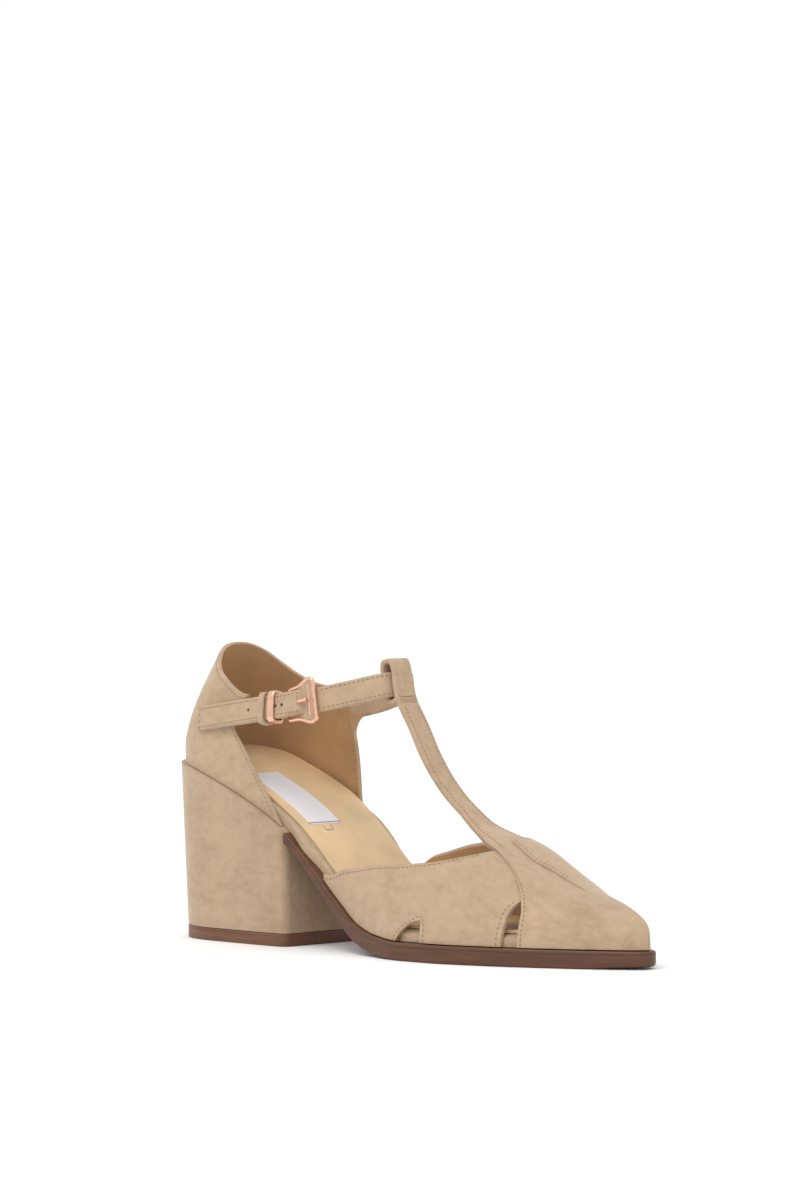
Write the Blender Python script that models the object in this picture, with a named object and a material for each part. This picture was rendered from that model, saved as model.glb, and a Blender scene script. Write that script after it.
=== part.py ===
"""T strap shoe with a block heel, right foot, made as separate pieces.

Lengths below are millimetres. In the shoe's own frame +X runs from the back of the
heel to the toe, +Y to the inner (medial) side and +Z up from the floor.
"""

import math

import bmesh
import bpy
from mathutils import Vector

MM = 0.001

# Overall sizes
LENGTH = 245.0
BALL_WIDTH = 78.0
HEEL_HEIGHT = 72.5
COUNTER_HEIGHT = 48.5
INSTEP_HEIGHT = 58.0

# Sole, heel and inner boards
SOLE_EDGE = 7.0
WAIST_EDGE = 4.5
TOE_SPRING = 1.0
SOLE_ROUND = 1.0
HEEL_LENGTH = 76.0
HEEL_BACK_TAPER = 3.5
HEEL_SIDE_TAPER = 1.3
HEEL_CORNER = 4.0
TOP_PIECE = 5.0
BACK_ROUND = 32.0
BACK_POWER = 2.3
TOE_ROUND = 2.5
TOE_POWER = 2.2
TOE_BLEND = 45.0
FOOTBED = 5.0
FOOTBED_ROUND = 1.6
SOCK = 1.2
SOCK_MARGIN = 1.8
BALL_OVERHANG = 2.4
TOE_OVERHANG = 1.2
WAIST_FADE_START = 1.5
WAIST_FADE_END = 6.0
FOOTBED_END = 0.965
SOCK_END = 0.950

# Upper
WALL = 1.6
SOLE_LEDGE = 2.0
OVERLAY_STEP = 0.8
GAP = 0.3
RIDGE_SIDE = 6.0
SEAM_FOOT = 0.828
SEAM_LEAN = 0.127
SEAM_STEP = 1.5
PANEL_STEP = 0.9
NOSE_DEPTH = 12.0
CORE_SETBACK = 3.0
SIDE_FULLNESS = 0.92
TOP_FULLNESS = 1.04
SEAM_CURVE = 2.2
LEAN_FADE = 1.5
VAMP_ROWS = 10
CUP_ROWS = 9

# Straps
STRAP_WIDTH = 10.0
STRAP_THICKNESS = 2.2
T_STRAP_WIDTH = 10.8
T_STRAP_THICKNESS = 2.2
STRAP_LEAN = 0.22
LOOP_LAYER = 1.9
LOOP_CLEARANCE = 1.0
LOOP_SLACK = 2.4
LOOP_SETBACK = 0.2
LOOP_REACH = 0.1
LANDING_SHIFT = 0.8

TAB_NARROWER = 0.6
TAB_THICKNESS = 1.28

# Buckle and keepers
FRAME_HEIGHT = 17.5
FRAME_LENGTH = 13.0
FRAME_RADIUS = 1.05
FRAME_CLEARANCE = 0.7
PRONG_RADIUS = 0.8
METAL_KEEPER_WIDTH = 3.2
SUEDE_KEEPER_WIDTH = 3.0
KEEPER_LAYER = 1.1
KEEPER_CLEARANCE = 0.45
HOLE_RADIUS = 0.75
STRAP_TIP = 4.0
CUT_DEPTH = 3.0
PRONG_SLOT_PLACE = 5.4
PRONG_SLOT_LENGTH = 6.4

# Places along the ankle strap, as shares of the shoe's length
STRAP_TIP_PLACE = 0.080
TAB_PLACE = 0.130
SUEDE_KEEPER_PLACE = 0.258
METAL_KEEPER_PLACE = 0.275
BUCKLE_PLACE = 0.306
HOLE_PLACES = [0.222, 0.286, 0.297]
CUP_PLACES = [0.55, 0.75, 0.95, 1.4, 1.8]

# Buckle frame's upper half: share of its length from the rear bar, share of half its height
FRAME_SHAPE = [
    (0.00, 0.20), (0.00, 0.62), (0.06, 0.70), (0.30, 0.72), (0.48, 0.78), (0.64, 0.90),
    (0.80, 1.00), (0.93, 0.98), (1.00, 0.86), (1.00, 0.45), (1.00, 0.15),
]

# Prong from the rear bar through its slot to the front bar: place along, height outward
PRONG_SHAPE = [(2.2, 0.0), (3.8, 0.5), (5.6, 2.2), (7.6, 3.7), (10.5, 4.4), (12.6, 4.6)]


def table(columns, rows):
    """Named columns of a short table, each as a list."""
    names = columns.split()
    return {name: [row[i] for row in rows] for i, name in enumerate(names)}


# Half widths of the sole as shares of the ball width, along the length
OUTLINE = table("along lateral medial", [
    (0.000, 0.372, 0.360),
    (0.122, 0.380, 0.365),
    (0.245, 0.392, 0.358),
    (0.347, 0.385, 0.325),
    (0.430, 0.400, 0.325),
    (0.530, 0.470, 0.395),
    (0.612, 0.519, 0.462),
    (0.673, 0.513, 0.481),
    (0.755, 0.449, 0.446),
    (0.837, 0.346, 0.352),
    (0.906, 0.236, 0.222),
    (0.959, 0.138, 0.132),
    (1.000, 0.046, 0.050),
])

# Height of the line where the upper meets the sole, as a share of the heel's rise
SEAT_LINE = table("along rise", [
    (0.000, 1.000),
    (0.080, 0.955),
    (0.160, 0.860),
    (0.245, 0.730),
    (0.310, 0.595),
    (0.370, 0.412),
    (0.430, 0.215),
    (0.490, 0.070),
    (0.550, 0.016),
    (0.610, 0.000),
    (1.000, 0.000),
])

# Height of the last's ridge above the floor and its shift to the inner side,
# as shares of the instep height and of RIDGE_SIDE
RIDGE = table("along height shift", [
    (0.380, 1.640, 1.0),
    (0.490, 1.290, 1.0),
    (0.580, 1.010, 1.0),
    (0.640, 0.860, 1.0),
    (0.700, 0.778, 1.0),
    (0.730, 0.730, 1.0),
    (0.780, 0.625, 0.85),
    (0.860, 0.475, 0.60),
    (0.930, 0.375, 0.40),
    (0.975, 0.290, 0.25),
    (1.000, 0.190, 0.20),
])

# Where the side panels' top edge runs between the sole (0) and the ridge (1),
# by the station at its foot
TOPLINE = table("along lateral medial", [
    (0.398, 0.025, 0.040),
    (0.430, 0.100, 0.160),
    (0.467, 0.187, 0.250),
    (0.520, 0.283, 0.356),
    (0.587, 0.371, 0.485),
    (0.637, 0.442, 0.590),
    (0.682, 0.512, 0.675),
    (0.730, 0.600, 0.760),
    (0.770, 0.710, 0.840),
    (0.800, 0.840, 0.920),
    (0.826, 1.000, 1.000),
])

# Arched openings at the sole line: place along the length, height above the sole
REAR_CUT = [(0.601, -4.0), (0.601, 0.5), (0.613, 4.0), (0.627, 6.8), (0.641, 8.4), (0.655, 9.1),
            (0.662, 8.1), (0.659, 0.0), (0.659, -4.0)]
FRONT_CUT = [(0.802, -4.0), (0.802, 3.0), (0.803, 8.0), (0.808, 13.0), (0.816, 16.8),
             (0.8265, 18.4), (0.8265, 10.0), (0.8265, -4.0)]

# The heel cup: its lean, its half width and the forward ends of its two sides,
# by height between the seat line (0) and the top of the counter (1)
CUP = table("level back lateral medial lateral_end medial_end", [
    (0.00, 0.000, 1.000, 1.000, 0.298, 0.272),
    (0.15, -0.002, 0.990, 0.985, 0.252, 0.270),
    (0.30, 0.004, 0.970, 0.960, 0.208, 0.268),
    (0.45, 0.014, 0.935, 0.915, 0.174, 0.264),
    (0.60, 0.028, 0.890, 0.860, 0.165, 0.260),
    (0.72, 0.041, 0.850, 0.810, 0.180, 0.264),
    (0.80, 0.050, 0.820, 0.775, 0.200, 0.268),
    (1.00, 0.073, 0.730, 0.670, 0.206, 0.268),
])

# Top edge of the heel cup as a share of the counter's height, along the length
COLLAR = table("along height", [
    (0.000, 1.000),
    (0.075, 1.000),
    (0.090, 0.940),
    (0.110, 0.830),
    (0.135, 0.730),
    (0.165, 0.660),
    (0.200, 0.625),
    (0.240, 0.615),
    (0.300, 0.615),
])

# Middle line of the T strap below its loop, as shares of the length, of the
# instep height and of RIDGE_SIDE, with its width as a share of the strap's
T_STRAP_LINE = table("along height shift width", [
    (0.500, 1.525, 0.00, 1.00),
    (0.524, 1.335, 0.10, 1.00),
    (0.553, 1.165, 0.20, 1.00),
    (0.586, 1.020, 0.35, 1.00),
    (0.632, 0.875, 0.60, 1.05),
])

# Where the T strap lands on the toe piece: its middle above or below the ridge
T_STRAP_LANDING = table("along above width", [
    (0.668, 0.4, 1.12),
    (0.700, -0.1, 1.20),
    (0.735, -1.3, 1.30),
])

# Middle height of the ankle strap above the seat line's back, as a share of the counter
STRAP_RISE = table("along rise", [
    (0.080, 0.335),
    (0.200, 0.420),
    (0.260, 0.460),
    (0.310, 0.497),
    (0.367, 0.558),
    (0.410, 0.612),
    (0.457, 0.680),
])

# Plan of the ankle strap in front of the heel cup, as shares of the length and
# of the ball width, from the outer side round the front to the inner side
ANKLE_PLAN = table("along side", [
    (0.245, -0.345),
    (0.300, -0.333),
    (0.350, -0.295),
    (0.400, -0.215),
    (0.440, -0.135),
    (0.456, -0.068),
    (0.457, 0.000),
    (0.456, 0.068),
    (0.440, 0.135),
    (0.400, 0.195),
    (0.350, 0.255),
    (0.300, 0.292),
    (0.272, 0.305),
])


def read(source, column, at, key="along"):
    """Value of a table's column at a place, on a smooth curve with no overshoot."""
    xs, ys = source[key], source[column]
    if at <= xs[0]:
        return ys[0]
    if at >= xs[-1]:
        return ys[-1]
    slopes = [(ys[i + 1] - ys[i]) / (xs[i + 1] - xs[i]) for i in range(len(xs) - 1)]
    tangents = [slopes[0]]
    for before, after in zip(slopes, slopes[1:]):
        both = before * after
        tangents.append(2.0 * both / (before + after) if both > 0.0 else 0.0)
    tangents.append(slopes[-1])
    i = max(k for k in range(len(xs) - 1) if xs[k] <= at)
    step = xs[i + 1] - xs[i]
    t = (at - xs[i]) / step
    return ((1 + 2 * t) * (1 - t) ** 2 * ys[i] + t * (1 - t) ** 2 * step * tangents[i]
            + t * t * (3 - 2 * t) * ys[i + 1] + t * t * (t - 1) * step * tangents[i + 1])


def blend(low, high, at):
    """0 below low, 1 above high, smooth between."""
    t = min(1.0, max(0.0, (at - low) / (high - low)))
    return t * t * (3.0 - 2.0 * t)


def side_name(side):
    return "medial" if side > 0 else "lateral"


def half_width(x, side):
    """Sole half width at x before the rounding of heel and toe."""
    return BALL_WIDTH * read(OUTLINE, side_name(side), x / LENGTH)


def rounding(x):
    """Share of the half width that is left at the round back and at the blunt toe."""
    share = 1.0
    if x < BACK_ROUND:
        share = (1.0 - (1.0 - x / BACK_ROUND) ** BACK_POWER) ** (1.0 / BACK_POWER)
    if x > LENGTH - TOE_ROUND:
        reach = min(1.0, (x - LENGTH + TOE_ROUND) / TOE_ROUND)
        share = (1.0 - reach ** TOE_POWER) ** (1.0 / TOE_POWER)
    return share


def plan(x, side, inset):
    """Point of the sole's outline at station x, moved in by inset."""
    width = half_width(x, side)
    y = side * rounding(x) * (width - inset)
    if x < BACK_ROUND:
        x = inset + x * (BACK_ROUND - inset) / BACK_ROUND
    toe = LENGTH - TOE_BLEND
    if x > toe:
        x = toe + (x - toe) * (TOE_BLEND - inset) / TOE_BLEND
    return x, y


def seat(x):
    """Height of the upper's lower edge above the floor."""
    return SOLE_EDGE + (HEEL_HEIGHT - SOLE_EDGE) * read(SEAT_LINE, "rise", x / LENGTH)


def stations(start, end, count, soft_start=False, soft_end=False):
    """Places from start to end, closer together where an end is round."""
    places = []
    for i in range(count + 1):
        t = i / count
        if soft_start and soft_end:
            t = (1.0 - math.cos(math.pi * t)) / 2.0
        elif soft_start:
            t = 1.0 - math.cos(math.pi * t / 2.0)
        elif soft_end:
            t = math.sin(math.pi * t / 2.0)
        places.append(start + (end - start) * t)
    return places


# Making objects

frame = None


def start_model():
    """Empty the scene and place the shoe's frame with its origin under its middle."""
    global frame
    for old in list(bpy.data.objects):
        bpy.data.objects.remove(old, do_unlink=True)
    reach = {side: max(abs(plan(x, side, 0.0)[1]) for x in stations(0.0, LENGTH, 400))
             for side in (-1, 1)}
    frame = bpy.data.objects.new("shoe_frame", None)
    frame.location = (-LENGTH / 2.0 * MM, (reach[-1] - reach[1]) / 2.0 * MM, 0.0)
    bpy.context.collection.objects.link(frame)


def material(name, colour, roughness, metallic=0.0):
    surface = bpy.data.materials.get(name) or bpy.data.materials.new(name)
    surface.use_nodes = True
    shader = surface.node_tree.nodes["Principled BSDF"]
    shader.inputs["Base Color"].default_value = (*colour, 1.0)
    shader.inputs["Roughness"].default_value = roughness
    shader.inputs["Metallic"].default_value = metallic
    return surface


def suede():
    return material("suede", (0.51, 0.37, 0.25), 0.9)


def rose_gold():
    return material("rose_gold", (0.83, 0.55, 0.42), 0.18, 1.0)


def new_object(name, points, faces, surface, sharp=35.0, sheet=False):
    """Object of points in millimetres, with its doubles merged and faces outward."""
    mesh = bpy.data.meshes.new(name)
    shape = bmesh.new()
    corners = [shape.verts.new(Vector(p) * MM) for p in points]
    for face in faces:
        shape.faces.new([corners[i] for i in face])
    bmesh.ops.remove_doubles(shape, verts=shape.verts, dist=2e-6)
    if not sheet:
        bmesh.ops.recalc_face_normals(shape, faces=shape.faces)
        if shape.calc_volume(signed=True) < 0.0:
            bmesh.ops.reverse_faces(shape, faces=shape.faces)
    shape.to_mesh(mesh)
    shape.free()
    mesh.shade_smooth()
    mesh.set_sharp_from_angle(angle=math.radians(sharp))
    mesh.materials.append(surface)
    piece = bpy.data.objects.new(name, mesh)
    bpy.context.collection.objects.link(piece)
    piece.parent = frame
    return piece


def loft(sections, closed=False, cap=True):
    """Points and faces of a skin over rings of equal length."""
    points = [p for ring in sections for p in ring]
    count, size = len(sections), len(sections[0])
    faces = []
    for i in range(count if closed else count - 1):
        j = (i + 1) % count
        for k in range(size):
            m = (k + 1) % size
            faces.append((i * size + k, i * size + m, j * size + m, j * size + k))
    if cap and not closed:
        faces.append(tuple(range(size))[::-1])
        faces.append(tuple((count - 1) * size + k for k in range(size)))
    return points, faces


def grid(rows):
    """Points and faces of an open sheet over rows of equal length."""
    points = [p for row in rows for p in row]
    size = len(rows[0])
    faces = [(i * size + k, i * size + k + 1, (i + 1) * size + k + 1, (i + 1) * size + k)
             for i in range(len(rows) - 1) for k in range(size - 1)]
    return points, faces


def wall(piece, thickness):
    """Give a sheet its real wall, inward from its outer face."""
    layer = piece.modifiers.new("wall", "SOLIDIFY")
    layer.thickness = thickness * MM
    layer.offset = -1.0


def combine(piece, other, operation):
    """Join or cut with another object, which is then only a guide."""
    step = piece.modifiers.new(operation.lower(), "BOOLEAN")
    step.operation = operation
    step.solver = "EXACT"
    step.use_self = True
    step.object = other
    other.hide_render = True
    other.display_type = "WIRE"


def board_section(x, layers):
    """Ring of one station of a board: outer side upward, then inner side downward."""
    ring = []
    for side, order in ((-1, layers), (1, layers[::-1])):
        for inset, height in order:
            across = inset(x, side) if callable(inset) else inset
            px, py = plan(x, side, across)
            ring.append((px, py, height(px)))
    return ring


# Sole and heel

def sole_bottom(x):
    edge = WAIST_EDGE + (SOLE_EDGE - WAIST_EDGE) * blend(0.36 * LENGTH, 0.46 * LENGTH, x)
    return seat(x) - edge + TOE_SPRING * blend(0.90 * LENGTH, LENGTH, x)


def build_outsole():
    layers = [
        (SOLE_ROUND, sole_bottom),
        (0.0, lambda x: sole_bottom(x) + SOLE_ROUND),
        (0.0, seat),
    ]
    places = stations(HEEL_LENGTH + GAP, LENGTH, 46, soft_end=True)
    sections = [board_section(x, layers) for x in places]
    new_object("outsole", *loft(sections), material("sole_brown", (0.14, 0.058, 0.03), 0.42))


def heel_point(x, side, level):
    """Point of the heel's side: level 0 at the top piece, 1 at the rim."""
    px, py = plan(x, side, 0.0)
    corner = HEEL_LENGTH - HEEL_CORNER
    if x > corner:
        reach = (x - corner) / HEEL_CORNER
        py -= side * HEEL_CORNER * (1.0 - math.sqrt(max(0.0, 1.0 - reach * reach)))
    down = 1.0 - level
    width = half_width(x, side)
    py *= 1.0 - down * HEEL_SIDE_TAPER / width
    px += down * HEEL_BACK_TAPER * (1.0 - px / HEEL_LENGTH)
    return px, py


def heel_sections(heights):
    """Rings of the heel block between given heights, each a function of x and level."""
    round_part = stations(0.0, BACK_ROUND, 12, soft_start=True)
    side_part = stations(BACK_ROUND, HEEL_LENGTH - HEEL_CORNER, 7)
    corner_part = stations(HEEL_LENGTH - HEEL_CORNER, HEEL_LENGTH, 4, soft_end=True)
    sections = []
    for x in round_part + side_part[1:] + corner_part[1:]:
        ring = []
        for side, order in ((-1, heights), (1, heights[::-1])):
            for level, height in order:
                px, py = heel_point(x, side, level)
                ring.append((px, py, height(px)))
        sections.append(ring)
    return sections


def build_heel():
    low = TOP_PIECE + GAP
    levels = [(share, lambda x, s=share: low + s * (seat(x) - low)) for share in (0, 0.33, 0.67, 1)]
    new_object("heel", *loft(heel_sections(levels)), suede())
    levels = [(0, lambda x: 0.0), (0, lambda x: TOP_PIECE)]
    new_object("top_piece", *loft(heel_sections(levels)),
               material("heel_tip_brown", (0.2, 0.09, 0.045), 0.5))


def quarter_end(side):
    return LENGTH * read(CUP, side_name(side) + "_end", 0.0, key="level")


def vamp_start():
    return LENGTH * TOPLINE["along"][0]


def footbed_inset(x, side):
    """Inside the upper's wall, but flush with it in the open waist."""
    inner = SOLE_LEDGE + WALL + 2.0 * GAP
    rear, front = quarter_end(side), vamp_start()
    open_waist = (blend(rear + WAIST_FADE_START, rear + WAIST_FADE_END, x)
                  * (1.0 - blend(front - WAIST_FADE_END, front - WAIST_FADE_START, x)))
    return inner + (SOLE_LEDGE - inner) * open_waist


def under_toe(x):
    """How far the forepart of the upper leans over the boards."""
    ball = BALL_OVERHANG * blend(0.45 * LENGTH, 0.70 * LENGTH, x)
    return ball + TOE_OVERHANG * blend(0.80 * LENGTH, 0.95 * LENGTH, x)


def build_footbed():
    layers = [
        (footbed_inset, lambda x: seat(x) + GAP),
        (footbed_inset, lambda x: seat(x) + FOOTBED - FOOTBED_ROUND),
        (lambda x, side: footbed_inset(x, side) + FOOTBED_ROUND + under_toe(x),
         lambda x: seat(x) + FOOTBED),
    ]
    places = stations(0.0, LENGTH * FOOTBED_END, 64, soft_start=True, soft_end=True)
    sections = [board_section(x, layers) for x in places]
    new_object("footbed", *loft(sections), material("footbed_suede", (0.5, 0.36, 0.24), 0.9))


def build_insole():
    base = FOOTBED + GAP

    def margin(x, side):
        return footbed_inset(x, side) + FOOTBED_ROUND + SOCK_MARGIN + under_toe(x)

    layers = [(margin, lambda x: seat(x) + base), (margin, lambda x: seat(x) + base + SOCK)]
    places = stations(0.0, LENGTH * SOCK_END, 48, soft_start=True, soft_end=True)
    sections = [board_section(x, layers) for x in places]
    new_object("insole", *loft(sections), material("sock_leather", (0.68, 0.5, 0.31), 0.6))


# Forepart of the upper

def ridge_height(x):
    return INSTEP_HEIGHT * read(RIDGE, "height", x / LENGTH)


def ridge_shift(x):
    return RIDGE_SIDE * read(RIDGE, "shift", x / LENGTH)


def last_point(x, side, turn):
    """Point of the last's forepart: turn 0 at the sole, 1 on the ridge."""
    px, py = plan(x, side, SOLE_LEDGE)
    angle = turn * math.pi / 2.0
    shift = ridge_shift(px) * rounding(x)
    low, high = seat(px) + 1.5 * GAP, ridge_height(px)
    y = shift + (py - shift) * math.cos(angle) ** SIDE_FULLNESS
    z = low + (high - low) * math.sin(angle) ** TOP_FULLNESS
    return Vector((px, y, z))


def seam_foot():
    return SEAM_FOOT * LENGTH


def vamp_place(x, turn):
    """Stations lean back to the throat, so that one of them is the toe piece's edge."""
    if x < seam_foot():
        reach = (x - vamp_start()) / (seam_foot() - vamp_start())
    else:
        reach = (LENGTH - x) / (LENGTH - seam_foot())
    return x - SEAM_LEAN * LENGTH * turn ** SEAM_CURVE * reach ** LEAN_FADE


def overlay(x, turn, side):
    """How proud the leather is: toe piece over side panel, inner panel over both."""
    toe = OVERLAY_STEP * blend(seam_foot(), seam_foot() + SEAM_STEP, x)
    if side < 0:
        return toe * blend(0.0, 0.03, turn)
    inner = PANEL_STEP * (1.0 - blend(0.84, 0.97, turn))
    fade = 1.0 - blend(0.86 * LENGTH, 0.96 * LENGTH, x)
    return (toe + inner * fade) * blend(0.0, 0.10, turn)


def vamp_pair(x, turn, side):
    """A point of the forepart's outer face and the one under it on the lining side."""
    here = last_point(vamp_place(x, turn), side, turn)
    nose = NOSE_DEPTH * blend(0.90 * LENGTH, LENGTH, x)
    middle = ridge_shift(here.x) * rounding(x)
    core = Vector((here.x - CORE_SETBACK - nose, middle, seat(here.x)))
    inward = (core - here).normalized()
    return here - inward * overlay(x, turn, side), here + inward * WALL


def build_vamp_wall(surface):
    """Toe and side panels as one wall, the toe piece one step proud."""
    foot = seam_foot()
    middle = 0.62 * LENGTH
    places = stations(vamp_start(), middle, 8) + stations(middle, foot, 10, soft_end=True)[1:]
    places += [foot + SEAM_STEP] + stations(foot + 5.0, LENGTH, 12, soft_end=True)
    points, faces = [], []
    size = VAMP_ROWS + 1
    count = len(places)
    for side in (-1, 1):
        base = len(points)
        for x in places:
            top = read(TOPLINE, side_name(side), x / LENGTH)
            pairs = [vamp_pair(x, top * k / VAMP_ROWS, side) for k in range(size)]
            points += [pair[0] for pair in pairs] + [pair[1] for pair in pairs]
        for i in range(count - 1):
            here, there = base + 2 * size * i, base + 2 * size * (i + 1)
            for k in range(VAMP_ROWS):
                faces.append((here + k, here + k + 1, there + k + 1, there + k))
                lining, next_lining = here + size + k, there + size + k
                faces.append((lining, next_lining, next_lining + 1, lining + 1))
            faces.append((here, there, there + size, here + size))
            if places[i] < foot - 0.01:
                top = VAMP_ROWS
                faces.append((here + top, here + size + top, there + size + top, there + top))
        for k in range(VAMP_ROWS):
            faces.append((base + k, base + size + k, base + size + k + 1, base + k + 1))
    return new_object("vamp", points, faces, surface)


def cut_out(name, outline, side):
    """Guide that cuts one arched opening through the side of the wall."""
    near, far = 0.13 * BALL_WIDTH, 0.60 * BALL_WIDTH
    rings = [[Vector((x * LENGTH, side * y, SOLE_EDGE + z)) for x, z in outline]
             for y in (near, far)]
    return new_object(name, *loft(rings), material("guide", (0.5, 0.5, 0.5), 1.0))


# Straps

def strip(centres, widths, thickness, across):
    """Rings of a flat strap with softened edges along a line of centres."""
    sections = []
    for i, centre in enumerate(centres):
        before = centres[max(0, i - 1)]
        after = centres[min(len(centres) - 1, i + 1)]
        along = (after - before).normalized()
        wide = across(i, centre)
        wide = (wide - along * wide.dot(along)).normalized()
        out = along.cross(wide).normalized()
        half, deep, soft = widths[i] / 2.0, thickness / 2.0, thickness * 0.3
        ring = []
        for w, t in ((-half, -deep + soft), (-half, deep - soft), (-half + soft, deep),
                     (half - soft, deep), (half, deep - soft), (half, -deep + soft),
                     (half - soft, -deep), (-half + soft, -deep)):
            ring.append(centre + wide * w + out * t)
        sections.append(ring)
    return sections


def ring_band(centre, tall, deep, across, up, width, layer, count=20, power=2.6):
    """Closed band round a strap's section: tall along up, deep along the third axis."""
    third = up.cross(across).normalized()
    sections = []
    for i in range(count):
        angle = 2.0 * math.pi * i / count
        c, s = math.cos(angle), math.sin(angle)
        c = math.copysign(abs(c) ** (2.0 / power), c)
        s = math.copysign(abs(s) ** (2.0 / power), s)
        ring = []
        for edge, grow in ((-1, 0.0), (1, 0.0), (1, layer), (-1, layer)):
            ring.append(centre + up * (tall + grow) * s + third * (deep + grow) * c
                        + across * edge * width / 2.0)
        sections.append(ring)
    return sections


def strap_height(x):
    """Middle height of the ankle strap over a place along the length."""
    return HEEL_HEIGHT + COUNTER_HEIGHT * read(STRAP_RISE, "rise", x / LENGTH)


def smooth_path(knots, per_span):
    """Points along a smooth curve through the knots."""
    knots = [Vector(k) for k in knots]
    points = []
    for i in range(len(knots) - 1):
        a, b = knots[i], knots[i + 1]
        before = knots[i - 1] if i else a + (a - b)
        after = knots[i + 2] if i + 2 < len(knots) else b + (b - a)
        for k in range(per_span):
            t = k / per_span
            points.append(0.5 * (2 * a + (b - before) * t
                                 + (2 * before - 5 * a + 4 * b - after) * t * t
                                 + (3 * a - before - 3 * b + after) * t ** 3))
    points.append(knots[-1])
    return points


def loop_inner():
    """Half height and half depth of the loop's opening."""
    return (STRAP_WIDTH / 2.0 + LOOP_CLEARANCE + LOOP_SLACK / 2.0,
            STRAP_THICKNESS / 2.0 + LOOP_CLEARANCE)


def loop_frame(line):
    """Middle of the T strap's loop round the ankle strap, and its three directions."""
    point, along, out, up = line.at(line.front())
    back = tab_layer() - LOOP_SETBACK
    return point + out * back + up * LOOP_SLACK / 2.0, along, out, up


def t_strap(line):
    """Middle points and widths of the T strap from inside its loop to the toe piece."""
    tall, deep = loop_inner()
    centre, along, out, up = loop_frame(line)
    layer = centre + out * (deep + LOOP_LAYER / 2.0 + LOOP_REACH)
    knots = [layer + up * tall * 0.3, layer - up * (tall + LOOP_LAYER * 0.25)]
    widths = [1.0, 1.0]
    for place, height, shift, width in zip(*T_STRAP_LINE.values()):
        knots.append(Vector((place * LENGTH, shift * RIDGE_SIDE, height * INSTEP_HEIGHT)))
        widths.append(width)
    for place, above, width in zip(*T_STRAP_LANDING.values()):
        x = place * LENGTH
        knots.append(Vector((x, ridge_shift(x) * LANDING_SHIFT, ridge_height(x) + above)))
        widths.append(width)
    spans = 3
    centres = smooth_path(knots, spans)
    fine = [read({"along": range(len(widths)), "width": widths}, "width", i / spans)
            for i in range(len(centres))]
    return centres, [T_STRAP_WIDTH * w for w in fine]


def build_vamp(line):
    vamp = build_vamp_wall(suede())
    for side in (-1, 1):
        for place, outline in (("rear", REAR_CUT), ("front", FRONT_CUT)):
            name = f"{place}_cut_{side_name(side)}"
            combine(vamp, cut_out(name, outline, side), "DIFFERENCE")

    centres, widths = t_strap(line)
    across = Vector((0.0, 1.0, 0.0))
    sections = strip(centres, widths, T_STRAP_THICKNESS, lambda i, c: across)
    combine(vamp, new_object("t_strap_guide", *loft(sections), suede()), "UNION")

    tall, deep = loop_inner()
    centre, along, out, up = loop_frame(line)
    band = ring_band(centre, tall, deep, along, up, T_STRAP_WIDTH - 0.4, LOOP_LAYER,
                     count=24, power=6.0)
    combine(vamp, new_object("loop_guide", *loft(band, closed=True), suede()), "UNION")


# Heel cup

def cup_point(place, level, side):
    """Outer face of the heel cup: place 0 at the back, 1 at the end of its round
    part and 2 at its forward end; level 0 at the sole, 1 at the counter's top."""
    back = SOLE_LEDGE + LENGTH * read(CUP, "back", level, key="level")
    share = read(CUP, side_name(side), level, key="level")
    end = LENGTH * read(CUP, side_name(side) + "_end", level, key="level")
    if place <= 1.0:
        angle = place * math.pi / 2.0
        depth = BACK_ROUND - SOLE_LEDGE
        x = back + depth * (1.0 - math.cos(angle) ** (2.0 / BACK_POWER))
        round_share = math.sin(angle) ** (2.0 / BACK_POWER)
    else:
        start = back + BACK_ROUND - SOLE_LEDGE
        x = start + (end - start) * (place - 1.0)
        round_share = 1.0
    width = (half_width(max(x, BACK_ROUND), side) - SOLE_LEDGE) * share
    low = seat(x) + GAP
    z = low + (HEEL_HEIGHT + COUNTER_HEIGHT - low) * level
    return Vector((x, side * width * round_share, z))


def collar_level(place, side):
    """Level of the collar at a place round the cup."""
    level = 1.0
    for _ in range(8):
        x = cup_point(place, level, side).x
        low = seat(x)
        top = HEEL_HEIGHT + COUNTER_HEIGHT * read(COLLAR, "height", x / LENGTH)
        level = (top - low) / (HEEL_HEIGHT + COUNTER_HEIGHT - low)
    return level


def build_quarter():
    turns = [(-1, 2.0 - 0.125 * i) for i in range(8)] + [(-1, 1.0 - 0.1 * i) for i in range(10)]
    turns += [(1, 0.1 * i) for i in range(10)] + [(1, 1.0 + 0.125 * i) for i in range(9)]
    rows = []
    for side, place in turns:
        top = collar_level(place, side)
        rows.append([cup_point(place, top * k / CUP_ROWS, side) for k in range(CUP_ROWS + 1)])
    quarter = new_object("quarter", *grid(rows), suede(), sheet=True)
    wall(quarter, WALL)
    return quarter


def cup_at_height(place, side, height):
    """Outer face of the heel cup at a place round it and a height above the floor."""
    level = 0.5
    for _ in range(8):
        low = seat(cup_point(place, level, side).x) + GAP
        level = (height(cup_point(place, level, side).x) - low) / (HEEL_HEIGHT + COUNTER_HEIGHT - low)
    return cup_point(place, level, side)


# Ankle strap, its buckle and its keepers

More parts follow.
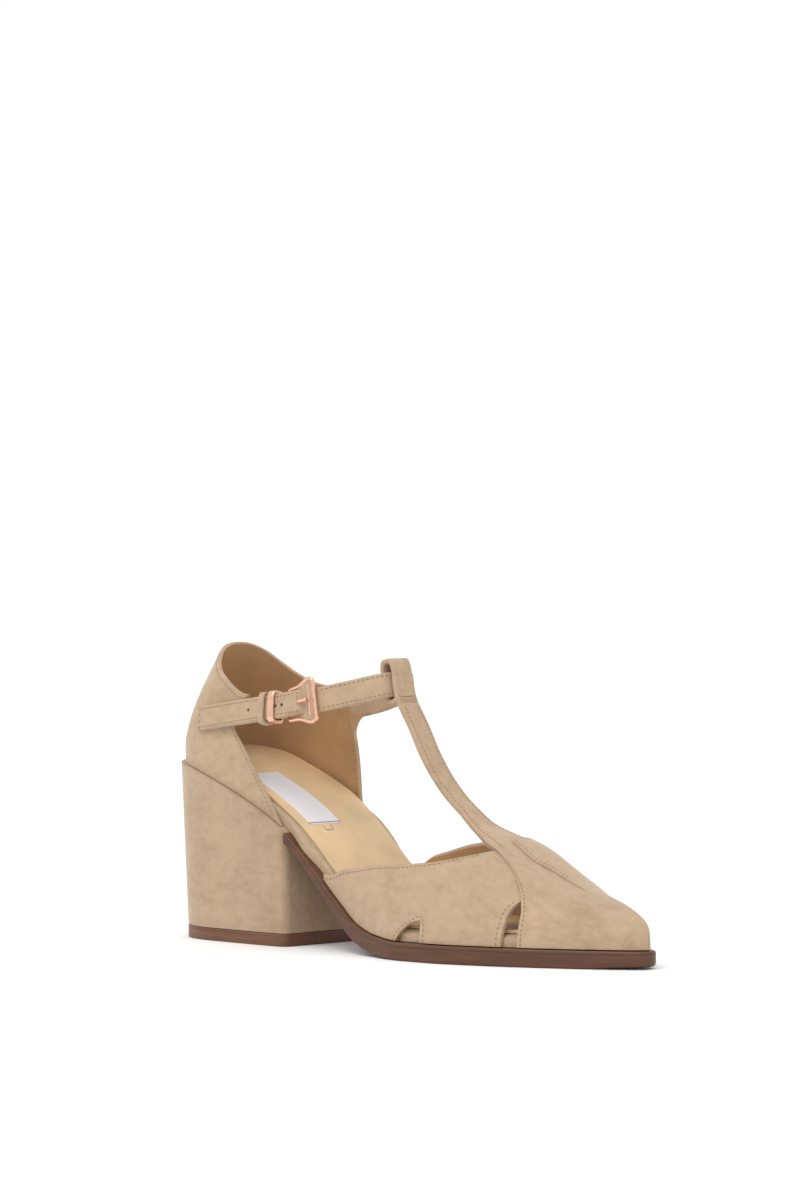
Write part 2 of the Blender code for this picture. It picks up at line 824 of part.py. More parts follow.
class StrapLine:
    """The line that the ankle strap follows, measured along its length."""

    def __init__(self):
        knots = [cup_at_height(place, -1, strap_height) for place in CUP_PLACES]
        for along, side in zip(*ANKLE_PLAN.values()):
            x = along * LENGTH
            knots.append(Vector((x, side * BALL_WIDTH, strap_height(x))))
        self.points = smooth_path(knots, 8)
        self.reach = [0.0]
        for a, b in zip(self.points, self.points[1:]):
            self.reach.append(self.reach[-1] + (b - a).length)

    def length(self):
        return self.reach[-1]

    def at(self, distance):
        """Point, direction along, outward direction and upward direction."""
        distance = min(max(distance, 0.0), self.length() - 1e-6)
        i = max(k for k in range(len(self.reach) - 1) if self.reach[k] <= distance)
        a, b = self.points[i], self.points[i + 1]
        point = a.lerp(b, (distance - self.reach[i]) / (self.reach[i + 1] - self.reach[i]))
        before = self.points[max(0, i - 3)]
        after = self.points[min(len(self.points) - 1, i + 4)]
        along = (after - before).normalized()
        inward = Vector((0.28 * LENGTH, 0.0, point.z)) - point
        inward.z = 0.0
        up = (Vector((0.0, 0.0, 1.0)) + inward.normalized() * STRAP_LEAN)
        up = (up - along * up.dot(along)).normalized()
        out = along.cross(up).normalized()
        if out.dot(inward) > 0.0:
            out.negate()
        return point, along, out, up

    def front(self):
        """Distance at which the line passes the middle of the instep."""
        forward = [p for p in self.points if p.x > 0.44 * LENGTH]
        middle = min(forward, key=lambda point: abs(point.y))
        return self.reach[self.points.index(middle)]

    def place(self, along_share):
        """Distance at which the line passes a share of the shoe's length, outer side."""
        for point, distance in zip(self.points, self.reach):
            if point.x >= along_share * LENGTH:
                return distance
        return self.length()


def flat_strip(line, start, end, offset, width, thickness, count, surface, name, tip=0.0):
    """Flat strap between two distances of the line, at an offset outward from it."""
    centres, ups, widths = [], [], []
    places = stations(start, end, count)
    if tip:
        places = [start + tip * t for t in (0.0, 0.3, 0.65)] + stations(start + tip, end, count)
    for distance in places:
        point, along, out, up = line.at(distance)
        centres.append(point + out * offset(distance))
        ups.append(up)
        narrow = max(0.0, 1.0 - (distance - start) / tip) if tip else 0.0
        widths.append(width * (1.0 - 0.35 * narrow ** 2))
    sections = strip(centres, widths, thickness, lambda i, c: ups[i])
    return new_object(name, *loft(sections), surface)


def tube(centres, radius, sides=6, closed=False, flat=1.0, frames=None):
    """Round bar along a line of points."""
    sections = []
    count = len(centres)
    for i, centre in enumerate(centres):
        before = centres[(i - 1) % count if closed else max(0, i - 1)]
        after = centres[(i + 1) % count if closed else min(count - 1, i + 1)]
        along = (after - before).normalized()
        first = (frames[i] - along * frames[i].dot(along)).normalized()
        second = along.cross(first)
        ring = []
        for k in range(sides):
            angle = 2.0 * math.pi * (k + 0.5) / sides
            ring.append(centre + first * math.cos(angle) * radius * flat
                        + second * math.sin(angle) * radius)
        sections.append(ring)
    return loft(sections, closed=closed)


def tab_layer():
    """Middle of the strap under the buckle, measured outward from the cup's face."""
    return -WALL / 2.0


def free_layer():
    """Middle of the strap's free end, which lies on the cup's face."""
    return GAP + STRAP_THICKNESS / 2.0


def build_ankle_strap(line):
    tab, free = tab_layer(), free_layer()
    rear = line.place(BUCKLE_PLACE)
    start = line.place(STRAP_TIP_PLACE)
    rise = FRAME_RADIUS + GAP + STRAP_THICKNESS / 2.0 + tab

    def offset(distance):
        past = blend(rear + 1.5, rear + FRAME_LENGTH - 3.0, distance)
        lift = blend(rear - 8.0, rear - 2.0, distance)
        outer = free + (max(free, rise) - free) * lift
        return outer * (1.0 - past) + tab * past

    strap = flat_strip(line, start, line.length() - GAP, offset, STRAP_WIDTH, STRAP_THICKNESS,
                       52, suede(), "ankle_strap", tip=STRAP_TIP)
    for i, place in enumerate(HOLE_PLACES):
        distance = line.place(place)
        point, _, out, up = line.at(distance)
        centre = point + out * offset(distance)
        ends = [centre - out * CUT_DEPTH, centre + out * CUT_DEPTH]
        hole = new_object(f"hole_{i}", *tube(ends, HOLE_RADIUS, 8, frames=[up, up]), suede())
        combine(strap, hole, "DIFFERENCE")
    slot_at = rear + PRONG_SLOT_PLACE
    point, along, out, up = line.at(slot_at)
    rings = []
    for depth in (-1.5 * CUT_DEPTH, 2.0 * CUT_DEPTH):
        rings.append([point + out * depth + along * a * PRONG_SLOT_LENGTH / 2.0
                      + up * b * (PRONG_RADIUS + 2.0 * GAP)
                      for a, b in ((-1, -1), (1, -1), (1, 1), (-1, 1))])
    combine(strap, new_object("prong_slot", *loft(rings), suede()), "DIFFERENCE")
    return strap


def build_buckle(line):
    tab = tab_layer()
    rear = line.place(BUCKLE_PLACE)
    front_out = tab + STRAP_THICKNESS / 2.0 + FRAME_RADIUS + FRAME_CLEARANCE
    half = [(share * FRAME_LENGTH, height * FRAME_HEIGHT / 2.0) for share, height in FRAME_SHAPE]
    centres, frames = [], []
    for along_at, height in half + [(a, -h) for a, h in reversed(half)]:
        point, _, out, up = line.at(rear + along_at)
        share = along_at / FRAME_LENGTH
        centres.append(point + up * height + out * (tab + (front_out - tab) * share))
        frames.append(out)
    new_object("buckle_frame", *tube(centres, FRAME_RADIUS, 8, closed=True, frames=frames),
               rose_gold(), sharp=60.0)

    centres, frames = [], []
    for along_at, depth in PRONG_SHAPE:
        point, _, out, up = line.at(rear + along_at)
        centres.append(point + out * (tab + depth))
        frames.append(up)
    new_object("buckle_prong", *tube(centres, PRONG_RADIUS, 8, frames=frames), rose_gold(),
               sharp=60.0)


def build_keeper(line, name, place, width, surface):
    """Band round both layers of the strap."""
    point, along, out, up = line.at(line.place(place))
    inner = -WALL
    outer = free_layer() + STRAP_THICKNESS / 2.0
    centre = point + out * (inner + outer) / 2.0
    band = ring_band(centre, STRAP_WIDTH / 2.0 + KEEPER_CLEARANCE,
                     (outer - inner) / 2.0 + KEEPER_CLEARANCE, along, up, width, KEEPER_LAYER,
                     count=16, power=4.5)
    new_object(name, *loft(band, closed=True), surface)


def build_tab(line, quarter):
    """The strap end of the outer side, which carries the buckle's rear bar."""
    rear = line.place(BUCKLE_PLACE)
    start = line.place(TAB_PLACE)
    guide = flat_strip(line, start, rear - FRAME_RADIUS - GAP, lambda _: tab_layer(),
                       STRAP_WIDTH - TAB_NARROWER, TAB_THICKNESS, 14, suede(), "tab_guide")
    combine(quarter, guide, "UNION")


def main():
    start_model()
    build_outsole()
    build_heel()
    build_footbed()
    build_insole()
    line = StrapLine()
    build_vamp(line)
    quarter = build_quarter()
    build_tab(line, quarter)
    build_ankle_strap(line)
    build_buckle(line)
    build_keeper(line, "metal_keeper", METAL_KEEPER_PLACE, METAL_KEEPER_WIDTH, rose_gold())
    build_keeper(line, "suede_keeper", SUEDE_KEEPER_PLACE, SUEDE_KEEPER_WIDTH, suede())


main()
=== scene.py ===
"""Looks of a right T strap shoe with a block heel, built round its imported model.

The shape functions work in the shoe's own millimetres: +X from the back of the heel to
the toe, +Y to the inner (medial) side, +Z up from the floor. Pieces are made in metres.
"""

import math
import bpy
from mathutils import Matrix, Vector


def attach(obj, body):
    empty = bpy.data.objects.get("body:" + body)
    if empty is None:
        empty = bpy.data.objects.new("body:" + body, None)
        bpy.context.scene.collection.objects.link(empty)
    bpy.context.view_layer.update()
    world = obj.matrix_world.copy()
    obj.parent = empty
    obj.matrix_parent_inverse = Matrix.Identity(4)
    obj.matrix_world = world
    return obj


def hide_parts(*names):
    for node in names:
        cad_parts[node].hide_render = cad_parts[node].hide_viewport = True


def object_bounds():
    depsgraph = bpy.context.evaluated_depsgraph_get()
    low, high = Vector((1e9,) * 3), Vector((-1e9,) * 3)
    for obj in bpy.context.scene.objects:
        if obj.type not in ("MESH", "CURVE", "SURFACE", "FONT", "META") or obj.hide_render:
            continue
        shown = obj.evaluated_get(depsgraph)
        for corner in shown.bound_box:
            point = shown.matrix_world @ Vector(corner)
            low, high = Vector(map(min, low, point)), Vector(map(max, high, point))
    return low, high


bl_info = {
    "name": "T Strap Shoe",
    "version": (1, 0, 0),
    "blender": (4, 5, 0),
    "location": "View3D > Sidebar > Shoe",
    "description": "Makes a suede T strap shoe with its stitching, buckle and sole",
    "category": "Add Mesh",
}

import bmesh
import bpy
from mathutils import Vector

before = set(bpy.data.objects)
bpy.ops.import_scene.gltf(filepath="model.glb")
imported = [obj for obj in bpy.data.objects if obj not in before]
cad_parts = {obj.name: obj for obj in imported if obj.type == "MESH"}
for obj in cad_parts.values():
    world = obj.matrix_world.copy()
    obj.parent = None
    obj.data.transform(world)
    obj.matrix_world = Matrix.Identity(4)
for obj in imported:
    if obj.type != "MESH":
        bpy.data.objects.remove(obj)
CAD_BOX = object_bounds()

MM = 0.001

# Overall sizes
LENGTH = 245.0
BALL_WIDTH = 78.0
HEEL_HEIGHT = 72.5
COUNTER_HEIGHT = 48.5
INSTEP_HEIGHT = 58.0
# Sole, heel and inner boards
SOLE_EDGE = 7.0
WAIST_EDGE = 4.5
TOE_SPRING = 1.0
SOLE_ROUND = 1.0
HEEL_LENGTH = 76.0
HEEL_BACK_TAPER = 3.5
HEEL_SIDE_TAPER = 1.3
HEEL_CORNER = 4.0
TOP_PIECE = 5.0
BACK_ROUND = 32.0
BACK_POWER = 2.3
TOE_ROUND = 2.5
TOE_POWER = 2.2
TOE_BLEND = 45.0
FOOTBED = 5.0
FOOTBED_ROUND = 1.6
SOCK = 1.2
BALL_OVERHANG = 2.4
TOE_OVERHANG = 1.2
WAIST_FADE_START = 1.5
WAIST_FADE_END = 14.0
FOOTBED_END = 0.965
SOCK_END = 0.950
# Upper
WALL = 1.6
SOLE_LEDGE = 2.0
OVERLAY_STEP = 0.8
GAP = 0.3
RIDGE_SIDE = 6.0
VAMP_START = 0.398
SEAM_FOOT = 0.828
SEAM_LEAN = 0.127
PANEL_STEP = 0.9
NOSE_DEPTH = 12.0
CORE_SETBACK = 3.0
SIDE_FULLNESS = 0.92
TOP_FULLNESS = 1.04
# Straps
STRAP_WIDTH = 10.0
STRAP_THICKNESS = 2.2
T_STRAP_WIDTH = 10.8
T_STRAP_THICKNESS = 2.2
STRAP_LEAN = 0.22
LOOP_LAYER = 1.9
LOOP_CLEARANCE = 1.0
LOOP_SLACK = 2.4
LOOP_SETBACK = 0.2
LOOP_REACH = 0.1
LANDING_SHIFT = 0.8
TAB_NARROWER = 0.6
TAB_THICKNESS = 1.28
# Buckle and keepers
FRAME_HEIGHT = 17.5
FRAME_LENGTH = 13.0
FRAME_RADIUS = 1.05
FRAME_CLEARANCE = 0.7
PRONG_RADIUS = 0.8
METAL_KEEPER_WIDTH = 3.2
SUEDE_KEEPER_WIDTH = 3.0
KEEPER_LAYER = 1.1
KEEPER_CLEARANCE = 0.45
HOLE_RADIUS = 0.75
STRAP_TIP = 4.0
CUT_DEPTH = 3.0
# Places along the ankle strap, as shares of the shoe's length
TAB_PLACE = 0.130
SUEDE_KEEPER_PLACE = 0.258
METAL_KEEPER_PLACE = 0.275
BUCKLE_PLACE = 0.306
HOLE_PLACES = [0.222, 0.286, 0.297]
CUP_PLACES = [0.55, 0.75, 0.95, 1.4, 1.8]
# Middles of the cup and of the ankle strap's round, as shares of the length
CUP_MIDDLE = 0.18
ANKLE_MIDDLE = 0.28

# Spans along the length over which a shape changes, as shares of it
WAIST_SPAN = (0.36, 0.46)
BALL_SPAN = (0.45, 0.70)
TOE_LEAN_SPAN = (0.80, 0.95)
TOE_SPAN = (0.90, 1.0)
COLLAR_DIP_SPAN = (0.14, 0.20)
PANEL_FADE_SPAN = (0.80, 0.90)
LAP_ON_STRAP_SPAN = (0.66, 0.72)
LAP_ON_TOE_SPAN = (0.76, 0.86)
FLARE_SPAN = (0.560, 0.660)
LANDING_SPAN = (0.600, 0.668)
TUCK_SPAN = (0.705, 0.745)

# Ends and edges of the pieces
INNER_PANEL_END = 0.905
INNER_TOE_EDGE = 0.71
LAP_SEAM_END = 0.822
COLLAR_DIP = 0.040
TUCK_DEPTH = 1.6
LANDING_LIFT = 0.06
PANEL_ROWS = 48
SEAM_SWEEP = 2.8
TIP_PLACE = 0.092
STRAP_OVERLAP = 5.0
# Where the ankle strap rises to the buckle and drops past it, from the rear bar,
# and where it sinks into the cup, from its line's end
RISE = (-8.0, -2.0)
DROP = (5.4, 10.4)
SINK = (-7.0, 3.0)
# Distances of the stitching from the edges, and sizes of the trim
EDGE_MARGIN = 1.25
STRAP_MARGIN = 1.3
T_STRAP_MARGIN = 1.6
ARCH_MARGIN = 1.7
END_MARGIN = 2.2
CLOSING_SEAM = 5.7
STITCH_LIFT = 0.02
SMOOTH_STEP = 0.5
SMOOTH_REACH = 9
PLATE_LIFT = 0.45
RIM_RADIUS = 0.85
INNER_BAR_BACK = 2.5
INNER_BAR_LIFT = 0.35
INNER_BAR_RADIUS = 0.5
INNER_BAR_HEIGHTS = [-6.4, -3.2, 0.0, 3.2, 6.4]
NOSE_WALL = 3.5
WING_CORNER = 9.0
WING_TUCK = 0.8
WING_LAP = 1.2
LABEL_BACK = 44.8
LABEL_LENGTH = 36.3
LABEL_WIDTH = 17.2
LABEL_MIDDLE = -11.0

# Camera and light
PHOTO_WIDTH = 800.0
PHOTO_HEIGHT = 1200.0
CAMERA_AZIMUTH = 44.0
CAMERA_ELEVATION = 3.4
CAMERA_DISTANCE = 2.0
CAMERA_LENS = 151.0
CAMERA_TARGET = (120.0, 0.0, 60.0)
CAMERA_PIXEL = (414.4, 798.6)
WORLD_LIGHT = 1.0
KEY_LIGHT = 1.1
KEY_FROM = (0.06, -0.64, 1.0)

# Buckle frame's upper half: share of its length from the rear bar, share of half its height
FRAME_SHAPE = [
    (0.0, 0.2), (0.0, 0.62), (0.06, 0.7), (0.3, 0.72), (0.48, 0.78), (0.64, 0.9), (0.8, 1.0),
    (0.93, 0.98), (1.0, 0.86), (1.0, 0.45), (1.0, 0.15),
]

# Prong from the rear bar through the strap to the front bar: place along, height outward
PRONG_SHAPE = [(3.2, 0.2), (4.2, 0.9), (5.2, 2.2), (6.4, 3.6), (8.4, 4.5), (10.4, 4.7)]


def table(columns, rows):
    """Named columns of a short table, each as a list."""
    names = columns.split()
    return {name: [row[i] for row in rows] for i, name in enumerate(names)}


# Half widths of the sole as shares of the ball width, along the length
OUTLINE = table("along lateral medial", [
    (0.0, 0.372, 0.36), (0.122, 0.38, 0.365), (0.245, 0.392, 0.358), (0.347, 0.385, 0.325),
    (0.43, 0.4, 0.325), (0.53, 0.47, 0.395), (0.612, 0.519, 0.462), (0.673, 0.513, 0.481),
    (0.755, 0.449, 0.446), (0.837, 0.346, 0.352), (0.906, 0.236, 0.222), (0.959, 0.138, 0.132),
    (1.0, 0.046, 0.05),
])

# Height of the line where the upper meets the sole, as a share of the heel's rise
SEAT_LINE = table("along rise", [
    (0.0, 1.0), (0.08, 0.955), (0.16, 0.86), (0.245, 0.73), (0.31, 0.595), (0.37, 0.412),
    (0.43, 0.215), (0.49, 0.07), (0.55, 0.016), (0.61, 0.0), (1.0, 0.0),
])

# Height of the last's ridge above the floor and its shift to the inner side,
# as shares of the instep height and of RIDGE_SIDE
RIDGE = table("along height shift", [
    (0.38, 1.64, 1.0), (0.49, 1.29, 1.0), (0.58, 1.01, 1.0), (0.64, 0.86, 1.0), (0.7, 0.778, 1.0),
    (0.73, 0.73, 1.0), (0.78, 0.625, 0.85), (0.86, 0.48, 0.6), (0.93, 0.4, 0.4), (0.975, 0.318, 0.25),
    (1.0, 0.205, 0.2),
])

# Arched openings at the sole line: place along the length, height above the sole
REAR_ARCH = table("along height", [
    (0.5985, 0.0), (0.5992, 1.0), (0.605, 3.0), (0.6119, 4.9), (0.62, 6.5), (0.6277, 7.6),
    (0.638, 8.6), (0.647, 9.1), (0.6498, 8.8), (0.6506, 7.0), (0.651, 0.0),
])
FRONT_ARCH = table("along height", [
    (0.793, 0.0), (0.7934, 5.0), (0.794, 10.0), (0.7952, 13.8), (0.798, 16.0), (0.8031, 17.7),
    (0.813, 18.2), (0.824, 18.2), (0.8244, 0.0),
])

# Girth of the outer panel's top edge along the length
OUTER_TOP = table("along girth", [
    (0.398, -0.975), (0.4121, -0.945), (0.4491, -0.841), (0.501, -0.738), (0.5737, -0.618),
    (0.6184, -0.527), (0.6526, -0.443), (0.6906, -0.312), (0.7059, -0.22), (0.72, -0.18),
    (0.76, -0.25), (0.79, -0.4), (0.845, -0.6),
])

# Girth of the inner panel's edge where it laps over the ridge, along the length
LAP_EDGE = table("along girth", [
    (0.701, 0.0), (0.7045, -0.05), (0.7083, -0.081), (0.7347, -0.103), (0.7511, -0.116),
    (0.7652, -0.117), (0.7843, -0.105), (0.8, -0.093), (0.82, -0.085), (0.84, -0.08), (0.905, -0.06),
])

# The inner panel's top edge behind the throat: turn up from the sole along the length
INNER_TOP = table("along turn", [
    (0.398, 0.02), (0.41, 0.06), (0.4397, 0.159), (0.475, 0.25), (0.51, 0.331), (0.5559, 0.433),
    (0.6, 0.555), (0.622, 0.627), (0.66, 0.75), (0.6849, 0.835), (0.695, 0.89), (0.7012, 0.96),
])

# Outer edge of the T strap where it widens onto the toe piece: side in millimetres
LANDING_EDGE = table("along side", [
    (0.6, -2.8), (0.6163, -3.8), (0.645, -5.3), (0.6735, -7.4), (0.71, -9.9), (0.742, -12.1),
    (0.771, -15.0),
])

# Toe piece's rear edge on the outer side: girth and place along the length
TOE_EDGE = table("girth along", [
    (-1.0, 0.8204), (-0.902, 0.82), (-0.679, 0.8159), (-0.538, 0.8056), (-0.484, 0.7998),
    (-0.343, 0.7707), (-0.273, 0.7422), (-0.22, 0.7108), (-0.173, 0.6735), (-0.15, 0.682),
    (-0.13, 0.692), (-0.02, 0.695), (0.06, 0.71),
])

# The heel cup: its lean, its half width and the forward ends of its two sides,
# by height between the seat line (0) and the top of the counter (1)
CUP = table("level back lateral medial lateral_end medial_end", [
    (0.0, 0.0, 1.0, 1.0, 0.298, 0.272), (0.15, -0.002, 0.99, 0.985, 0.252, 0.27),
    (0.3, 0.004, 0.97, 0.96, 0.208, 0.268), (0.45, 0.014, 0.935, 0.915, 0.174, 0.264),
    (0.6, 0.028, 0.89, 0.86, 0.195, 0.26), (0.72, 0.041, 0.85, 0.81, 0.215, 0.264),
    (0.8, 0.05, 0.82, 0.775, 0.22, 0.268), (1.0, 0.073, 0.73, 0.67, 0.206, 0.268),
])

# Top edge of the heel cup as a share of the counter's height, along the length
COLLAR = table("along height", [
    (0.0, 1.0), (0.075, 1.0), (0.09, 0.94), (0.11, 0.83), (0.135, 0.73), (0.165, 0.66), (0.2, 0.625),
    (0.24, 0.615), (0.3, 0.615),
])

# Middle line of the T strap below its loop, as shares of the length, of the
# instep height and of RIDGE_SIDE, with its width as a share of the strap's
T_STRAP_LINE = table("along height shift width", [
    (0.5, 1.525, 0.0, 1.0), (0.524, 1.335, 0.1, 1.0), (0.553, 1.165, 0.2, 1.0),
    (0.586, 1.02, 0.35, 1.0), (0.632, 0.875, 0.6, 1.05),
])

# Where the T strap lands on the toe piece: its middle above or below the ridge
T_STRAP_LANDING = table("along above width", [
    (0.668, 0.4, 1.12), (0.7, -0.1, 1.2), (0.735, -1.3, 1.3),
])

# Middle height of the ankle strap above the seat line's back, as a share of the counter
STRAP_RISE = table("along rise", [
    (0.08, 0.335), (0.2, 0.42), (0.26, 0.46), (0.31, 0.497), (0.367, 0.558), (0.41, 0.612),
    (0.457, 0.68),
])

# Plan of the ankle strap in front of the heel cup, as shares of the length and
# of the ball width, from the outer side round the front to the inner side
ANKLE_PLAN = table("along side", [
    (0.245, -0.345), (0.3, -0.333), (0.35, -0.295), (0.4, -0.215), (0.44, -0.135), (0.456, -0.068),
    (0.457, 0.0), (0.456, 0.068), (0.44, 0.135), (0.4, 0.195), (0.35, 0.255), (0.3, 0.292),
    (0.272, 0.305),
])


def read(source, column, at, key="along"):
    """Value of a table's column at a place, on a smooth curve with no overshoot."""
    xs, ys = source[key], source[column]
    if at <= xs[0]:
        return ys[0]
    if at >= xs[-1]:
        return ys[-1]
    slopes = [(ys[i + 1] - ys[i]) / (xs[i + 1] - xs[i]) for i in range(len(xs) - 1)]
    tangents = [slopes[0]]
    for before, after in zip(slopes, slopes[1:]):
        both = before * after
        tangents.append(2.0 * both / (before + after) if both > 0.0 else 0.0)
    tangents.append(slopes[-1])
    i = max(k for k in range(len(xs) - 1) if xs[k] <= at)
    step = xs[i + 1] - xs[i]
    t = (at - xs[i]) / step
    return ((1 + 2 * t) * (1 - t) ** 2 * ys[i] + t * (1 - t) ** 2 * step * tangents[i]
            + t * t * (3 - 2 * t) * ys[i + 1] + t * t * (t - 1) * step * tangents[i + 1])


def blend(low, high, at):
    """0 below low, 1 above high, smooth between."""
    t = min(1.0, max(0.0, (at - low) / (high - low)))
    return t * t * (3.0 - 2.0 * t)


def blend_along(span, x):
    """The same between two places given as shares of the length."""
    return blend(span[0] * LENGTH, span[1] * LENGTH, x)


def side_name(side):
    return "medial" if side > 0 else "lateral"


def half_width(x, side):
    """Sole half width at x before the rounding of heel and toe."""
    return BALL_WIDTH * read(OUTLINE, side_name(side), x / LENGTH)


def rounding(x):
    """Share of the half width that is left at the round back and at the blunt toe."""
    share = 1.0
    if x < BACK_ROUND:
        share = (1.0 - (1.0 - x / BACK_ROUND) ** BACK_POWER) ** (1.0 / BACK_POWER)
    if x > LENGTH - TOE_ROUND:
        reach = min(1.0, (x - LENGTH + TOE_ROUND) / TOE_ROUND)
        share = (1.0 - reach ** TOE_POWER) ** (1.0 / TOE_POWER)
    return share


def plan(x, side, inset):
    """Point of the sole's outline at station x, moved in by inset."""
    width = half_width(x, side)
    y = side * rounding(x) * (width - inset)
    if x < BACK_ROUND:
        x = inset + x * (BACK_ROUND - inset) / BACK_ROUND
    toe = LENGTH - TOE_BLEND
    if x > toe:
        x = toe + (x - toe) * (TOE_BLEND - inset) / TOE_BLEND
    return x, y


def seat(x):
    """Height of the upper's lower edge above the floor."""
    return SOLE_EDGE + (HEEL_HEIGHT - SOLE_EDGE) * read(SEAT_LINE, "rise", x / LENGTH)


def stations(start, end, count, soft_start=False, soft_end=False):
    """Places from start to end, closer together where an end is round."""
    places = []
    for i in range(count + 1):
        t = i / count
        if soft_start and soft_end:
            t = (1.0 - math.cos(math.pi * t)) / 2.0
        elif soft_start:
            t = 1.0 - math.cos(math.pi * t / 2.0)
        elif soft_end:
            t = math.sin(math.pi * t / 2.0)
        places.append(start + (end - start) * t)
    return places


def loft(sections, closed=False):
    """Points and faces of a skin over rings of equal length."""
    points = [p for ring in sections for p in ring]
    count, size = len(sections), len(sections[0])
    faces = []
    for i in range(count if closed else count - 1):
        j = (i + 1) % count
        for k in range(size):
            m = (k + 1) % size
            faces.append((i * size + k, i * size + m, j * size + m, j * size + k))
    if not closed:
        faces.append(tuple(range(size))[::-1])
        faces.append(tuple((count - 1) * size + k for k in range(size)))
    return points, faces


def grid(rows):
    """Points and faces of an open sheet over rows of equal length."""
    points = [p for row in rows for p in row]
    size = len(rows[0])
    faces = [(i * size + k, i * size + k + 1, (i + 1) * size + k + 1, (i + 1) * size + k)
             for i in range(len(rows) - 1) for k in range(size - 1)]
    return points, faces


def section(layers, point):
    """Ring of one station: up its outer side, then down its inner side."""
    ring = []
    for side, order in ((-1, layers), (1, layers[::-1])):
        for where, height in order:
            px, py = point(side, where)
            ring.append((px, py, height(px)))
    return ring


def board_section(x, layers):
    return section(layers, lambda side, inset: plan(
        x, side, inset(x, side) if callable(inset) else inset))


def sole_bottom(x):
    edge = WAIST_EDGE + (SOLE_EDGE - WAIST_EDGE) * blend_along(WAIST_SPAN, x)
    return seat(x) - edge + TOE_SPRING * blend_along(TOE_SPAN, x)


def heel_point(x, side, level):
    """Point of the heel's side: level 0 at the top piece, 1 at the rim."""
    px, py = plan(x, side, 0.0)
    corner = HEEL_LENGTH - HEEL_CORNER
    if x > corner:
        reach = (x - corner) / HEEL_CORNER
        py -= side * HEEL_CORNER * (1.0 - math.sqrt(max(0.0, 1.0 - reach * reach)))
    down = 1.0 - level
    width = half_width(x, side)
    py *= 1.0 - down * HEEL_SIDE_TAPER / width
    px += down * HEEL_BACK_TAPER * (1.0 - px / HEEL_LENGTH)
    return px, py


def quarter_end(side):
    return LENGTH * read(CUP, side_name(side) + "_end", 0.0, key="level")


def footbed_inset(x, side):
    """Inside the upper's wall, but flush with it in the open waist."""
    inner = SOLE_LEDGE + WALL + 2.0 * GAP
    rear, front = quarter_end(side), VAMP_START * LENGTH
    open_waist = (blend(rear + WAIST_FADE_START, rear + WAIST_FADE_END, x)
                  * (1.0 - blend(front - WAIST_FADE_END, front - WAIST_FADE_START, x)))
    return inner + (SOLE_LEDGE - inner) * open_waist


def under_toe(x):
    """How far the forepart of the upper leans over the boards."""
    ball = BALL_OVERHANG * blend_along(BALL_SPAN, x)
    return ball + TOE_OVERHANG * blend_along(TOE_LEAN_SPAN, x)


def ridge_height(x):
    return INSTEP_HEIGHT * read(RIDGE, "height", x / LENGTH)


def ridge_shift(x):
    return RIDGE_SIDE * read(RIDGE, "shift", x / LENGTH)


def last_point(x, side, turn):
    """Point of the last's forepart: turn 0 at the sole, 1 on the ridge."""
    px, py = plan(x, side, SOLE_LEDGE)
    angle = turn * math.pi / 2.0
    shift = ridge_shift(px) * rounding(x)
    low, high = seat(px) + 1.5 * GAP, ridge_height(px)
    y = shift + (py - shift) * math.cos(angle) ** SIDE_FULLNESS
    z = low + (high - low) * math.sin(angle) ** TOP_FULLNESS
    return Vector((px, y, z))


def ring_band(centre, tall, deep, across, up, width, layer, count, power):
    """Closed band round a strap's section: tall along up, deep along the third axis."""
    third = up.cross(across).normalized()
    sections = []
    for i in range(count):
        angle = 2.0 * math.pi * i / count
        c, s = math.cos(angle), math.sin(angle)
        c = math.copysign(abs(c) ** (2.0 / power), c)
        s = math.copysign(abs(s) ** (2.0 / power), s)
        ring = []
        for edge, grow in ((-1, 0.0), (1, 0.0), (1, layer), (-1, layer)):
            ring.append(centre + up * (tall + grow) * s + third * (deep + grow) * c
                        + across * edge * width / 2.0)
        sections.append(ring)
    return sections


def strap_height(x):
    """Middle height of the ankle strap over a place along the length."""
    return HEEL_HEIGHT + COUNTER_HEIGHT * read(STRAP_RISE, "rise", x / LENGTH)


def smooth_path(knots, per_span):
    """Points along a smooth curve through the knots."""
    knots = [Vector(k) for k in knots]
    points = []
    for i in range(len(knots) - 1):
        a, b = knots[i], knots[i + 1]
        before = knots[i - 1] if i else a + (a - b)
        after = knots[i + 2] if i + 2 < len(knots) else b + (b - a)
        for k in range(per_span):
            t = k / per_span
            points.append(0.5 * (2 * a + (b - before) * t
                                 + (2 * before - 5 * a + 4 * b - after) * t * t
                                 + (3 * a - before - 3 * b + after) * t ** 3))
    points.append(knots[-1])
    return points


def between(values, per_span):
    """Smooth run of numbers through the values."""
    source = {"along": range(len(values)), "value": values}
    return [read(source, "value", i / per_span) for i in range((len(values) - 1) * per_span + 1)]


def loop_inner():
    """Half height and half depth of the loop's opening."""
    return (STRAP_WIDTH / 2.0 + LOOP_CLEARANCE + LOOP_SLACK / 2.0,
            STRAP_THICKNESS / 2.0 + LOOP_CLEARANCE)


def tab_layer():
    """Middle of the strap under the buckle, measured outward from the cup's face."""
    return -WALL / 2.0


def free_layer():
    """Middle of the strap's free end, which lies on the cup's face."""
    return GAP + STRAP_THICKNESS / 2.0


def loop_frame(line):
    """Middle of the T strap's loop round the ankle strap, and its three directions."""
    point, along, out, up = line.at(line.front())
    back = tab_layer() - LOOP_SETBACK
    return point + out * back + up * LOOP_SLACK / 2.0, along, out, up


